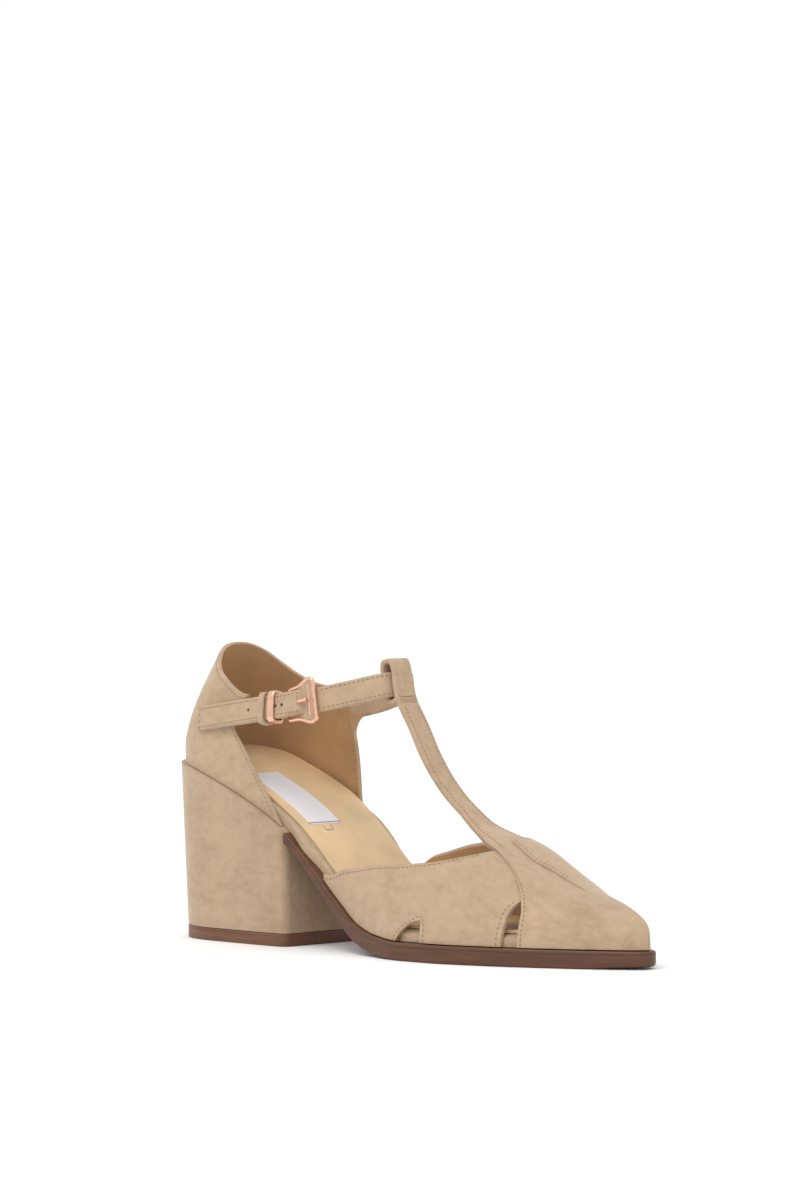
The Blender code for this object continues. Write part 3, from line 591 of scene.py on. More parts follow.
def t_strap(line):
    """Middle points and widths of the T strap from inside its loop to the toe piece."""
    tall, deep = loop_inner()
    centre, along, out, up = loop_frame(line)
    layer = centre + out * (deep + LOOP_LAYER / 2.0 + LOOP_REACH)
    knots = [layer + up * tall * 0.3, layer - up * (tall + LOOP_LAYER * 0.25)]
    widths = [1.0, 1.0]
    for place, height, shift, width in zip(*T_STRAP_LINE.values()):
        knots.append(Vector((place * LENGTH, shift * RIDGE_SIDE, height * INSTEP_HEIGHT)))
        widths.append(width)
    for place, above, width in zip(*T_STRAP_LANDING.values()):
        x = place * LENGTH
        knots.append(Vector((x, ridge_shift(x) * LANDING_SHIFT, ridge_height(x) + above)))
        widths.append(width)
    return smooth_path(knots, 3), [T_STRAP_WIDTH * w for w in between(widths, 3)]


def cup_point(place, level, side):
    """Outer face of the heel cup: place 0 at the back, 1 at the end of its round
    part and 2 at its forward end; level 0 at the sole, 1 at the counter's top."""
    back = SOLE_LEDGE + LENGTH * read(CUP, "back", level, key="level")
    share = read(CUP, side_name(side), level, key="level")
    end = LENGTH * read(CUP, side_name(side) + "_end", level, key="level")
    if place <= 1.0:
        angle = place * math.pi / 2.0
        depth = BACK_ROUND - SOLE_LEDGE
        x = back + depth * (1.0 - math.cos(angle) ** (2.0 / BACK_POWER))
        round_share = math.sin(angle) ** (2.0 / BACK_POWER)
    else:
        start = back + BACK_ROUND - SOLE_LEDGE
        x = start + (end - start) * (place - 1.0)
        round_share = 1.0
    width = (half_width(max(x, BACK_ROUND), side) - SOLE_LEDGE) * share
    low = seat(x) + GAP
    z = low + (HEEL_HEIGHT + COUNTER_HEIGHT - low) * level
    return Vector((x, side * width * round_share, z))


def collar_level(place, side):
    """Level of the collar at a place round the cup."""
    level = 1.0
    for _ in range(8):
        x = cup_point(place, level, side).x
        low = seat(x)
        top = HEEL_HEIGHT + COUNTER_HEIGHT * read(COLLAR, "height", x / LENGTH)
        level = (top - low) / (HEEL_HEIGHT + COUNTER_HEIGHT - low)
    return level


def cup_at_height(place, side, height):
    """Outer face of the heel cup at a place round it and a height above the floor."""
    level = 0.5
    for _ in range(8):
        low = seat(cup_point(place, level, side).x) + GAP
        level = (height(cup_point(place, level, side).x) - low) / (HEEL_HEIGHT + COUNTER_HEIGHT - low)
    return cup_point(place, level, side)


class StrapLine:
    """The line that the ankle strap follows, measured along its length."""

    def __init__(self):
        knots = [cup_at_height(place, -1, strap_height) for place in CUP_PLACES]
        for along, side in zip(*ANKLE_PLAN.values()):
            x = along * LENGTH
            knots.append(Vector((x, side * BALL_WIDTH, strap_height(x))))
        self.points = smooth_path(knots, 8)
        self.reach = [0.0]
        for a, b in zip(self.points, self.points[1:]):
            self.reach.append(self.reach[-1] + (b - a).length)

    def length(self):
        return self.reach[-1]

    def at(self, distance):
        """Point, direction along, outward direction and upward direction."""
        distance = min(max(distance, 0.0), self.length() - 1e-6)
        i = max(k for k in range(len(self.reach) - 1) if self.reach[k] <= distance)
        a, b = self.points[i], self.points[i + 1]
        point = a.lerp(b, (distance - self.reach[i]) / (self.reach[i + 1] - self.reach[i]))
        before = self.points[max(0, i - 3)]
        after = self.points[min(len(self.points) - 1, i + 4)]
        along = (after - before).normalized()
        inward = Vector((ANKLE_MIDDLE * LENGTH, 0.0, point.z)) - point
        inward.z = 0.0
        up = (Vector((0.0, 0.0, 1.0)) + inward.normalized() * STRAP_LEAN)
        up = (up - along * up.dot(along)).normalized()
        out = along.cross(up).normalized()
        if out.dot(inward) > 0.0:
            out.negate()
        return point, along, out, up

    def front(self):
        """Distance at which the line passes the middle of the instep."""
        forward = [p for p in self.points if p.x > 0.44 * LENGTH]
        middle = min(forward, key=lambda point: abs(point.y))
        return self.reach[self.points.index(middle)]

    def place(self, along_share):
        """Distance at which the line passes a share of the shoe's length, outer side."""
        for point, distance in zip(self.points, self.reach):
            if point.x >= along_share * LENGTH:
                return distance
        return self.length()


def tube(centres, radius, sides, frames, closed=False):
    """Round bar along a line of points."""
    sections = []
    count = len(centres)
    for i, centre in enumerate(centres):
        before = centres[(i - 1) % count if closed else max(0, i - 1)]
        after = centres[(i + 1) % count if closed else min(count - 1, i + 1)]
        along = (after - before).normalized()
        first = (frames[i] - along * frames[i].dot(along)).normalized()
        second = along.cross(first)
        ring = []
        for k in range(sides):
            angle = 2.0 * math.pi * (k + 0.5) / sides
            ring.append(centre + first * math.cos(angle) * radius + second * math.sin(angle) * radius)
        sections.append(ring)
    return loft(sections, closed=closed)


# Where the shoe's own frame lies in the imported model

def shoe_origin():
    """The shoe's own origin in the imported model, in metres."""
    widest = max(half_width(x, -1) * rounding(x) for x in stations(0.0, LENGTH, 400))
    return Vector((CAD_BOX[0].x, CAD_BOX[0].y + widest * MM, 0.0))


ORIGIN = shoe_origin()


def to_world(point):
    return ORIGIN + Vector(point) * MM


# Settings

def length_setting(name, description, default):
    return bpy.props.FloatProperty(
        name=name, description=description, default=default, unit="LENGTH")


def colour_setting(name, description, default):
    return bpy.props.FloatVectorProperty(
        name=name, description="Colour of the " + description, subtype="COLOR", size=3,
        default=default)


class ShoeSizes(bpy.types.PropertyGroup):
    edge: length_setting("Leather edge", "Rounding of a cut leather edge", 0.00045)
    stitch_spacing: length_setting(
        "Stitch spacing", "Distance from one stitch to the next", 0.0019)
    stitch_length: length_setting("Stitch length", "Length of one stitch that shows", 0.00125)
    thread: length_setting("Thread", "Thickness of the sewing thread", 0.00050)
    nap: length_setting("Nap", "Depth of the suede's nap", 0.00022)


class ShoeColours(bpy.types.PropertyGroup):
    suede: colour_setting("Suede", "suede", (0.44, 0.315, 0.208))
    lining: colour_setting("Lining", "lining leather", (0.44, 0.26, 0.13))
    sock: colour_setting("Sock", "sock leather", (0.66, 0.47, 0.27))
    sole: colour_setting("Sole", "stained sole edge", (0.105, 0.042, 0.020))
    heel_tip: colour_setting("Heel tip", "heel's wearing layer", (0.155, 0.065, 0.033))
    metal: colour_setting("Buckle", "buckle's plating", (0.84, 0.50, 0.36))
    thread: colour_setting("Thread", "sewing thread", (0.30, 0.20, 0.125))
    label: colour_setting("Label", "bare label", (0.72, 0.70, 0.72))


def sizes():
    return bpy.context.scene.shoe_sizes


def colours():
    return bpy.context.scene.shoe_colours


# Materials

class Nodes:
    """Short way to add and link the nodes of one material."""

    def __init__(self, name):
        self.material = bpy.data.materials.new(name)
        self.material.use_nodes = True
        self.tree = self.material.node_tree
        self.shader = self.tree.nodes["Principled BSDF"]

    def add(self, kind, **inputs):
        node = self.tree.nodes.new(kind)
        for name, value in inputs.items():
            node.inputs[name.replace("_", " ")].default_value = value
        return node

    def link(self, out_socket, in_socket):
        self.tree.links.new(out_socket, in_socket)

    def finish(self, colour, normal, **values):
        """Set the shader's plain values, link its colour and normal, give the material."""
        for name, value in values.items():
            self.shader.inputs[name.replace("_", " ")].default_value = value
        if colour:
            self.link(colour, self.shader.inputs["Base Color"])
        if normal:
            self.link(normal, self.shader.inputs["Normal"])
        return self.material

    def position(self):
        return self.add("ShaderNodeTexCoord").outputs["Object"]

    def noise(self, place, scale, detail=3.0, roughness=0.55, stretch=None):
        if stretch:
            mapping = self.add("ShaderNodeMapping", Scale=stretch)
            self.link(place, mapping.inputs["Vector"])
            place = mapping.outputs["Vector"]
        node = self.add("ShaderNodeTexNoise", Scale=scale, Detail=detail, Roughness=roughness)
        self.link(place, node.inputs["Vector"])
        return node.outputs["Fac"]

    def ramp(self, value, stops):
        node = self.tree.nodes.new("ShaderNodeValToRGB")
        ramp = node.color_ramp
        while len(ramp.elements) < len(stops):
            ramp.elements.new(0.5)
        for element, (place, colour) in zip(ramp.elements, stops):
            element.position = place
            element.color = (*colour, 1.0)
        self.link(value, node.inputs["Fac"])
        return node.outputs["Color"]

    def math(self, operation, first, second):
        node = self.tree.nodes.new("ShaderNodeMath")
        node.operation = operation
        for socket, value in zip(node.inputs, (first, second)):
            if isinstance(value, (int, float)):
                socket.default_value = value
            else:
                self.link(value, socket)
        return node.outputs[0]

    def bump(self, height, distance, strength=1.0, under=None):
        node = self.add("ShaderNodeBump", Strength=strength, Distance=distance)
        self.link(height, node.inputs["Height"])
        if under:
            self.link(under, node.inputs["Normal"])
        return node.outputs["Normal"]


def tint(colour, share):
    """The colour made darker (below 1) or lighter (above 1)."""
    return tuple(min(1.0, part * share) for part in colour)


def make_suede(name, colour):
    """Brushed suede: cloudy colour, short nap that lies in strokes, soft sheen."""
    m = Nodes(name)
    place = m.position()
    clouds = m.noise(place, 55.0, 5.0, 0.62)
    strokes = m.noise(place, 420.0, 4.0, 0.65, stretch=(0.40, 1.0, 0.75))
    fibres = m.noise(place, 2300.0, 2.0, 0.7)
    mix = m.math("ADD", m.math("MULTIPLY", clouds, 0.42), m.math("MULTIPLY", strokes, 0.40))
    mix = m.math("ADD", mix, m.math("MULTIPLY", fibres, 0.18))
    warm = (colour[0] * 0.83, colour[1] * 0.80, colour[2] * 0.75)
    colours = m.ramp(mix, [(0.36, warm), (0.50, colour), (0.64, tint(colour, 1.14))])
    fine = m.bump(fibres, sizes().nap, 0.55)
    normal = m.bump(strokes, sizes().nap * 2.2, 0.30, under=fine)
    return m.finish(colours, normal, Roughness=0.92, Sheen_Weight=0.42, Sheen_Roughness=0.42,
                    Specular_IOR_Level=0.18, Sheen_Tint=(1.0, 0.93, 0.82, 1.0))


def make_leather(name, colour, grain, roughness, depth):
    """Smooth leather with a fine pebble grain and faint clouds."""
    m = Nodes(name)
    place = m.position()
    pebbles = m.add("ShaderNodeTexVoronoi", Scale=grain)
    m.link(place, pebbles.inputs["Vector"])
    clouds = m.noise(place, 55.0, 4.0, 0.6)
    colours = m.ramp(clouds, [(0.30, tint(colour, 0.86)), (0.52, colour), (0.72, tint(colour, 1.10))])
    normal = m.bump(pebbles.outputs["Distance"], depth, 0.35)
    return m.finish(colours, normal, Roughness=roughness, Specular_IOR_Level=0.35)


def make_sole(name, colour):
    """Stained leather edge: fine layers, a darker line along its top and a waxed gloss."""
    m = Nodes(name)
    place = m.position()
    layer = m.add("ShaderNodeAttribute")
    layer.attribute_name = "layer"
    height = layer.outputs["Fac"]
    grain = m.noise(place, 90.0, 4.0, 0.6, stretch=(0.35, 0.35, 6.0))
    spots = m.noise(place, 900.0, 2.0, 0.6)
    base = m.ramp(grain, [(0.30, tint(colour, 0.78)), (0.52, colour), (0.74, tint(colour, 1.35))])
    edge = m.ramp(height, [(0.0, (0.9, 0.9, 0.9)), (0.74, (1.0, 1.0, 1.0)), (0.80, (0.55, 0.55, 0.55)),
                           (0.84, (0.8, 0.8, 0.8)), (1.0, (1.15, 1.1, 1.05))])
    mix = m.tree.nodes.new("ShaderNodeMix")
    mix.data_type = "RGBA"
    mix.blend_type = "MULTIPLY"
    mix.inputs["Factor"].default_value = 1.0
    m.link(base, mix.inputs["A"])
    m.link(edge, mix.inputs["B"])
    colours = mix.outputs["Result"]
    layers = m.bump(grain, 0.00025, 0.35)
    normal = m.bump(spots, 0.00008, 0.3, under=layers)
    return m.finish(colours, normal, Roughness=0.5, Specular_IOR_Level=0.35, Coat_Weight=0.08,
                    Coat_Roughness=0.3)


def make_metal(name, colour):
    """Polished plating with hairline scratches."""
    m = Nodes(name)
    place = m.position()
    hairlines = m.noise(place, 700.0, 3.0, 0.6, stretch=(0.15, 1.0, 2.0))
    colours = m.ramp(hairlines, [(0.35, tint(colour, 0.93)), (0.65, tint(colour, 1.04))])
    normal = m.bump(hairlines, 0.00002, 0.25)
    return m.finish(colours, normal, Metallic=1.0, Roughness=0.16)


def make_thread(name, colour):
    """Twisted thread."""
    m = Nodes(name)
    fibres = m.noise(m.position(), 3500.0, 2.0, 0.6)
    colours = m.ramp(fibres, [(0.3, tint(colour, 0.8)), (0.7, tint(colour, 1.2))])
    normal = m.bump(fibres, 0.00008, 0.4)
    return m.finish(colours, normal, Roughness=0.7)


def make_label(name, colour):
    """Woven label with a fine ribbed weave and nothing on it."""
    m = Nodes(name)
    place = m.position()
    ribs = m.add("ShaderNodeTexWave", Scale=900.0, Distortion=0.4)
    m.link(place, ribs.inputs["Vector"])
    colours = m.ramp(ribs.outputs["Fac"], [(0.2, tint(colour, 0.93)), (0.8, tint(colour, 1.03))])
    normal = m.bump(ribs.outputs["Fac"], 0.00006, 0.4)
    return m.finish(colours, normal, Roughness=0.55)


MATERIALS = {}


def make_materials():
    c = colours()
    MATERIALS["suede"] = make_suede("suede", tuple(c.suede))
    MATERIALS["heel_suede"] = make_suede("heel_suede", tint(tuple(c.suede), 0.97))
    MATERIALS["lining"] = make_leather("lining", tuple(c.lining), 1500.0, 0.58, 0.00006)
    MATERIALS["sock"] = make_leather("sock", tuple(c.sock), 1700.0, 0.5, 0.00005)
    MATERIALS["sole"] = make_sole("sole", tuple(c.sole))
    MATERIALS["heel_tip"] = make_sole("heel_tip", tuple(c.heel_tip))
    MATERIALS["metal"] = make_metal("metal", tuple(c.metal))
    MATERIALS["thread"] = make_thread("thread", tuple(c.thread))
    MATERIALS["sock_thread"] = make_thread("sock_thread", tint(tuple(c.sock), 0.7))
    MATERIALS["label"] = make_label("label", tuple(c.label))


# Making pieces

def new_piece(name, points, faces, surfaces, layer=None, lined=None, closed=True):
    """Object of points in the shoe's millimetres, with its doubles merged."""
    mesh = bpy.data.meshes.new(name)
    shape = bmesh.new()
    level = shape.verts.layers.float.new("layer")
    corners = []
    for i, point in enumerate(points):
        vertex = shape.verts.new(to_world(point))
        vertex[level] = layer[i] if layer else 0.0
        corners.append(vertex)
    for k, face in enumerate(faces):
        made = shape.faces.new([corners[i] for i in face])
        made.material_index = 1 if lined and lined[k] else 0
    bmesh.ops.remove_doubles(shape, verts=shape.verts, dist=2e-6)
    bmesh.ops.dissolve_degenerate(shape, edges=shape.edges, dist=1e-6)
    if closed:
        bmesh.ops.recalc_face_normals(shape, faces=shape.faces)
        if shape.calc_volume(signed=True) < 0.0:
            bmesh.ops.reverse_faces(shape, faces=shape.faces)
    shape.to_mesh(mesh)
    shape.free()
    for surface in surfaces:
        mesh.materials.append(MATERIALS[surface])
    piece = bpy.data.objects.new(name, mesh)
    bpy.context.collection.objects.link(piece)
    return piece


def soften(piece, width=None, segments=2, angle=50.0):
    edge = piece.modifiers.new("edge", "BEVEL")
    edge.width = width or sizes().edge
    edge.segments = segments
    edge.limit_method = "ANGLE"
    edge.angle_limit = math.radians(angle)


def thicken(piece, thickness, inner_surface=1):
    wall = piece.modifiers.new("wall", "SOLIDIFY")
    wall.thickness = thickness * MM
    wall.offset = -1.0
    wall.use_even_offset = False
    wall.material_offset = inner_surface
    wall.material_offset_rim = 0


def wall_faces(columns, rows):
    """Faces of a closed wall of two sheets, the outer first, and which are its lining."""
    size = columns * rows
    faces, lined = [], []

    def add(*corners, lining=False):
        faces.append(corners)
        lined.append(lining)

    for i in range(rows - 1):
        for k in range(columns - 1):
            a, b = i * columns + k, i * columns + k + 1
            c, d = b + columns, a + columns
            add(a, b, c, d)
            add(size + d, size + c, size + b, size + a, lining=True)
    rim = [(i * columns, (i + 1) * columns) for i in range(rows - 1)]
    rim += [((rows - 1) * columns + k, (rows - 1) * columns + k + 1) for k in range(columns - 1)]
    rim += [((i + 1) * columns - 1 + columns, (i + 1) * columns - 1) for i in range(rows - 1)]
    rim += [(k + 1, k) for k in range(columns - 1)]
    for a, b in rim:
        add(a, b, size + b, size + a)
    return faces, lined


def new_wall(name, outer, inner, surfaces):
    """Closed wall between an outer and an inner sheet of as many points."""
    points = [p for row in outer for p in row] + [p for row in inner for p in row]
    faces, lined = wall_faces(len(outer[0]), len(outer))
    piece = new_piece(name, points, faces, surfaces, lined=lined)
    soften(piece)
    return piece


def face_outward(piece, share):
    """Turn a sheet's faces away from the shoe's middle at a share of its length."""
    total = 0.0
    for face in piece.data.polygons:
        core = to_world((share * LENGTH, 0.0, 0.0))
        core.z = face.center.z
        total += (face.center - core).dot(face.normal) * face.area
    if total < 0.0:
        piece.data.flip_normals()


def plain(piece, sharp):
    """Turn a piece's modifiers into a plain mesh, shaded smooth but for its sharp edges."""
    bpy.context.view_layer.update()
    graph = bpy.context.evaluated_depsgraph_get()
    mesh = bpy.data.meshes.new_from_object(piece.evaluated_get(graph))
    piece.modifiers.clear()
    piece.data = mesh
    mesh.shade_smooth()
    mesh.set_sharp_from_angle(angle=math.radians(sharp))


def place_on_shoe(piece, node=None, sharp=38.0):
    """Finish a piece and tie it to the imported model."""
    plain(piece, sharp)
    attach(piece, "root")
    if node:
        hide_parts(node)


# Forepart: the surface over the toes and instep

def forepart_point(x, girth, lift=0.0):
    """Girth -1 is the outer side's sole line, 0 the ridge and 1 the inner sole line."""
    side = -1 if girth < 0.0 else 1
    here = last_point(x, side, 1.0 - abs(girth))
    nose = NOSE_DEPTH * blend_along(TOE_SPAN, x)
    core = Vector((here.x - CORE_SETBACK - nose, ridge_shift(here.x) * rounding(x), seat(here.x)))
    return here + (here - core).normalized() * lift


def cut_height(x):
    """Height of the arched openings above the sole at a place along the length."""
    for arch in (REAR_ARCH, FRONT_ARCH):
        if arch["along"][0] < x / LENGTH < arch["along"][-1]:
            return read(arch, "height", x / LENGTH)
    return 0.0


def turn_at_height(x, height):
    """Turn of the forepart at a height above the sole."""
    low, high = seat(x) + 1.5 * GAP, ridge_height(x)
    share = min(1.0, max(0.0, (height - 1.5 * GAP) / (high - low)))
    return math.asin(share ** (1.0 / TOP_FULLNESS)) * 2.0 / math.pi


def panel_stations(end):
    """Places along a side panel, close together at the arched openings' steep ends."""
    places = set(round(x, 3) for x in stations(VAMP_START * LENGTH, end, 96))
    for arch in (REAR_ARCH, FRONT_ARCH):
        low, high = arch["along"][0] * LENGTH, arch["along"][-1] * LENGTH
        for i in range(41):
            places.add(round(low + (high - low) * (1.0 - math.cos(math.pi * i / 40)) / 2.0, 3))
    ordered = sorted(places)
    return [x for i, x in enumerate(ordered) if i == 0 or x - ordered[i - 1] > 0.02]


def seam_place(turn):
    """Where the toe piece's rear edge lies, by the turn up from the sole."""
    return SEAM_FOOT * LENGTH - SEAM_LEAN * LENGTH * turn ** SEAM_SWEEP


def panel_pair(places, columns, edges, lift):
    """Outer and inner sheet of a side panel between its low and top girth at each place."""
    sheets = ([], [])
    for x in places:
        low, high = edges(x)
        girths = [low + (high - low) * k / columns for k in range(columns + 1)]
        sheets[0].append([forepart_point(x, g, lift(x, g)) for g in girths])
        sheets[1].append([forepart_point(x, g, lift(x, g) - WALL) for g in girths])
    return sheets


def outer_edge(x):
    """Girth of the outer panel's top edge."""
    return read(OUTER_TOP, "girth", x / LENGTH)


def build_lateral_panel():
    def edges(x):
        low = -1.0 + turn_at_height(x, cut_height(x))
        return low, max(low + 0.02, outer_edge(x))

    outer, inner = panel_pair(panel_stations(SEAM_FOOT * LENGTH + 4.0), PANEL_ROWS, edges,
                              lambda x, g: 0.0)
    place_on_shoe(new_wall("lateral_panel", outer, inner, ["suede", "lining"]), "vamp")


def medial_lift(x, girth):
    """How proud the inner panel lies, over the toe piece in front and the T strap on top."""
    fade = 1.0 - blend_along(PANEL_FADE_SPAN, x)
    over_top = (1.0 - blend(0.10, 0.42, girth)) * blend_along(LAP_ON_STRAP_SPAN, x)
    over_toe = blend_along(LAP_ON_TOE_SPAN, x)
    return PANEL_STEP * fade + OVERLAY_STEP * max(over_top, over_toe)


def medial_edge(x):
    """Girth of the inner panel's top edge, which laps over the ridge ahead of the throat."""
    throat = seam_place(1.0)
    if x < throat:
        return 1.0 - read(INNER_TOP, "turn", x / LENGTH)
    return read(LAP_EDGE, "girth", x / LENGTH)


def build_medial_panel():
    def edges(x):
        low = 1.0 - turn_at_height(x, cut_height(x))
        return low, min(low - 0.02, medial_edge(x))

    outer, inner = panel_pair(panel_stations(INNER_PANEL_END * LENGTH), PANEL_ROWS + 8, edges, medial_lift)
    place_on_shoe(new_wall("medial_panel", outer, inner, ["suede", "lining"]))


def toe_start(girth):
    """Place along the length of the toe piece's rear edge."""
    if girth < 0.06:
        return read(TOE_EDGE, "along", girth, key="girth") * LENGTH
    return max(seam_place(1.0 - girth), INNER_TOE_EDGE * LENGTH)


def build_toe_piece():
    count = 96
    outer, inner = [], []
    for i in range(161):
        girth = -1.0 + 2.0 * i / 160
        start = toe_start(girth)
        shares = [math.sin(math.pi / 2.0 * k / count) for k in range(count + 1)]
        end = LENGTH - NOSE_WALL
        outer.append([forepart_point(start + (LENGTH - start) * s, girth, OVERLAY_STEP) for s in shares])
        inner.append([forepart_point(start + (end - start) * s, girth, -WALL) for s in shares])
    piece = new_wall("toe_piece", outer, inner, ["suede", "lining"])
    place_on_shoe(piece)


def forepart_top(x, y, lift):
    """Point of the forepart at a place in plan, lifted off it."""
    shift = ridge_shift(x)
    side = 1 if y > shift else -1
    edge = plan(x, side, SOLE_LEDGE)[1]
    share = min(1.0, abs((y - shift) / (edge - shift)))
    turn = math.acos(share ** (1.0 / SIDE_FULLNESS)) * 2.0 / math.pi
    return forepart_point(x, side * max(1e-6, 1.0 - turn), lift)


def t_strap_line(line):
    """Middle points and half widths of the T strap, finely spaced."""
    centres, widths = t_strap(line)
    return smooth_path(centres, 4), [w / 2.0 for w in between(widths, 4)]


def t_strap_point(fine, half, i, across, out_by):
    """Point of the T strap: across from -1 (outer edge) to 1, out_by from its middle layer."""
    centre = fine[i]
    along = (fine[min(len(fine) - 1, i + 1)] - fine[max(0, i - 1)]).normalized()
    wide = Vector((0.0, 1.0, 0.0))
    wide = (wide - along * wide.dot(along)).normalized()
    out = along.cross(wide).normalized()
    if out.x < 0.0:
        out.negate()
    reach = half[i]
    if across < 0.0:
        flare = centre.y - read(LANDING_EDGE, "side", centre.x / LENGTH)
        reach += (flare - reach) * blend_along(FLARE_SPAN, centre.x)
    free = centre + wide * across * reach + out * out_by
    settle = blend_along(LANDING_SPAN, centre.x)
    if settle <= 0.0:
        return free
    sink = TUCK_DEPTH * blend_along(TUCK_SPAN, centre.x)
    lift = OVERLAY_STEP + LANDING_LIFT - T_STRAP_THICKNESS / 2.0 + out_by - sink
    return free.lerp(forepart_top(centre.x, centre.y + across * reach, lift), settle)


def strap_ring(width, thick, round_by=0.55):
    """Section of a flat strap with round edges: places across and out from its middle."""
    ring = []
    for sx, sy in ((-1, 1), (1, 1), (1, -1), (-1, -1)):
        corner = []
        for k in range(4):
            angle = math.pi / 2.0 * k / 3
            corner.append((sx * (width / 2.0 - round_by + round_by * math.cos(angle)),
                           sy * (thick / 2.0 - round_by + round_by * math.sin(angle))))
        ring += corner if sx * sy < 0 else corner[::-1]
    return ring


def build_t_strap(line):
    fine, half = t_strap_line(line)
    rings = []
    for i in range(len(fine)):
        width = 2.0 * half[i]
        ring = []
        for w, t in dense_ring(strap_ring(width, T_STRAP_THICKNESS, 0.6)):
            ring.append(t_strap_point(fine, half, i, w / half[i], t))
        rings.append(ring)
    piece = new_piece("t_strap", *loft(rings), ["suede"])
    place_on_shoe(piece, sharp=60.0)


def dense_ring(ring, gap=1.4):
    """The ring with more points along its straight runs."""
    full = []
    for a, b in zip(ring, ring[1:] + ring[:1]):
        steps = max(1, round(math.dist(a, b) / gap))
        full += [(a[0] + (b[0] - a[0]) * k / steps, a[1] + (b[1] - a[1]) * k / steps)
                 for k in range(steps)]
    return full


def build_loop(line):
    """The T strap's top, folded round the ankle strap and sewn down."""
    tall, deep = loop_inner()
    centre, along, out, up = loop_frame(line)
    band = ring_band(centre, tall, deep, along, up, T_STRAP_WIDTH - 0.4, LOOP_LAYER, 72, 4.0)
    piece = new_piece("strap_loop", *loft(band, closed=True), ["suede"])
    soften(piece, 0.0006, 3)
    place_on_shoe(piece)


# Heel cup

def collar_top(place, side):
    """Level of the collar, lower on the outer side where it runs under the strap."""
    level = collar_level(place, side)
    x = cup_point(place, level, side).x
    return level - (COLLAR_DIP * blend_along(COLLAR_DIP_SPAN, x) if side < 0 else 0.0)


def cup_turns():
    """Places round the cup from the outer side's end to the inner side's end."""
    turns = [(-1, 2.0 - i / 40.0) for i in range(40)] + [(-1, 1.0 - i / 36.0) for i in range(36)]
    return turns + [(1, i / 36.0) for i in range(36)] + [(1, 1.0 + i / 40.0) for i in range(41)]


def build_quarter():
    rows = []
    for side, place in cup_turns():
        top = collar_top(place, side)
        rows.append([cup_point(place, top * k / 44.0, side) for k in range(45)])
    piece = new_piece("quarter_panel", *grid(rows), ["suede", "lining"], closed=False)
    face_outward(piece, CUP_MIDDLE)
    thicken(piece, WALL)
    soften(piece)
    place_on_shoe(piece, "quarter")


# Ankle strap

class SmoothLine:
    """The ankle strap's line with its small kinks smoothed out, sampled finely."""

    def __init__(self, base):
        self.base = base
        self.step = base.length() / round(base.length() / SMOOTH_STEP)
        count = round(base.length() / self.step)
        samples = [base.at(self.step * i) for i in range(count + 1)]
        self.points = [p for p, _, _, _ in samples]
        self.ups = [u for _, _, _, u in samples]
        for _ in range(2):
            self.points = self.smoothed(self.points)
            self.ups = self.smoothed(self.ups)

    @staticmethod
    def smoothed(values):
        soft = []
        for i in range(len(values)):
            reach = min(SMOOTH_REACH, i, len(values) - 1 - i)
            near = values[i - reach:i + reach + 1]
            soft.append(sum(near, Vector()) / len(near))
        return soft

    def length(self):
        return self.step * (len(self.points) - 1)

    def place(self, along_share):
        return self.base.place(along_share)

    def at(self, distance):
        """Point, direction along, outward direction and upward direction."""
        past = max(0.0, distance - self.length())
        spot = min(max(distance / self.step, 0.0), len(self.points) - 1.001)
        i, share = int(spot), spot - int(spot)
        last = len(self.points) - 1
        point = self.points[i].lerp(self.points[i + 1], share)
        before = self.points[max(0, i - 1)].lerp(self.points[i], share)
        after = self.points[i + 1].lerp(self.points[min(last, i + 2)], share)
        along = (after - before).normalized()
        up = self.ups[i].lerp(self.ups[i + 1], share)
        up = (up - along * up.dot(along)).normalized()
        return point + along * past, along, along.cross(up).normalized(), up


def strap_offset(line):
    """How far outward of its line the ankle strap runs, by the distance along it."""
    tab, free = tab_layer(), free_layer()
    rear = line.place(BUCKLE_PLACE)
    rise = FRAME_RADIUS + GAP + STRAP_THICKNESS / 2.0 + tab

    def offset(distance):
        past = blend(rear + DROP[0], rear + DROP[1], distance)
        lift = blend(rear + RISE[0], rear + RISE[1], distance)
        outer = free + (max(free, rise) - free) * lift
        sink = blend(line.length() + SINK[0], line.length() + SINK[1], distance)
        return outer * (1.0 - past) + tab * past - WALL * sink

    return offset


def strap_rings(line, start, end, count, offset, width, thick, tip=0.0):
    rings = []
    places = stations(start, end, count)
    if tip:
        places = [start + tip * t for t in (0.0, 0.12, 0.3, 0.5, 0.75)] + stations(start + tip, end, count)
    for distance in places:
        point, along, out, up = line.at(distance)
        narrow = max(0.0, 1.0 - (distance - start) / tip) if tip else 0.0
        here = 1.0 - 0.35 * narrow ** 2
        rings.append([point + out * (offset(distance) + t) + up * (w * here)
                      for w, t in dense_ring(strap_ring(width, thick))])
    return rings


def cutter(points, faces):
    piece = new_piece("cutter", points, faces, ["suede"])
    piece.hide_render = True
    return piece


def cut_away(piece, guides):
    for guide in guides:
        step = piece.modifiers.new("cut", "BOOLEAN")
        step.operation = "DIFFERENCE"
        step.solver = "EXACT"
        step.object = guide
    plain(piece, 38.0)
    for guide in guides:
        bpy.data.objects.remove(guide, do_unlink=True)


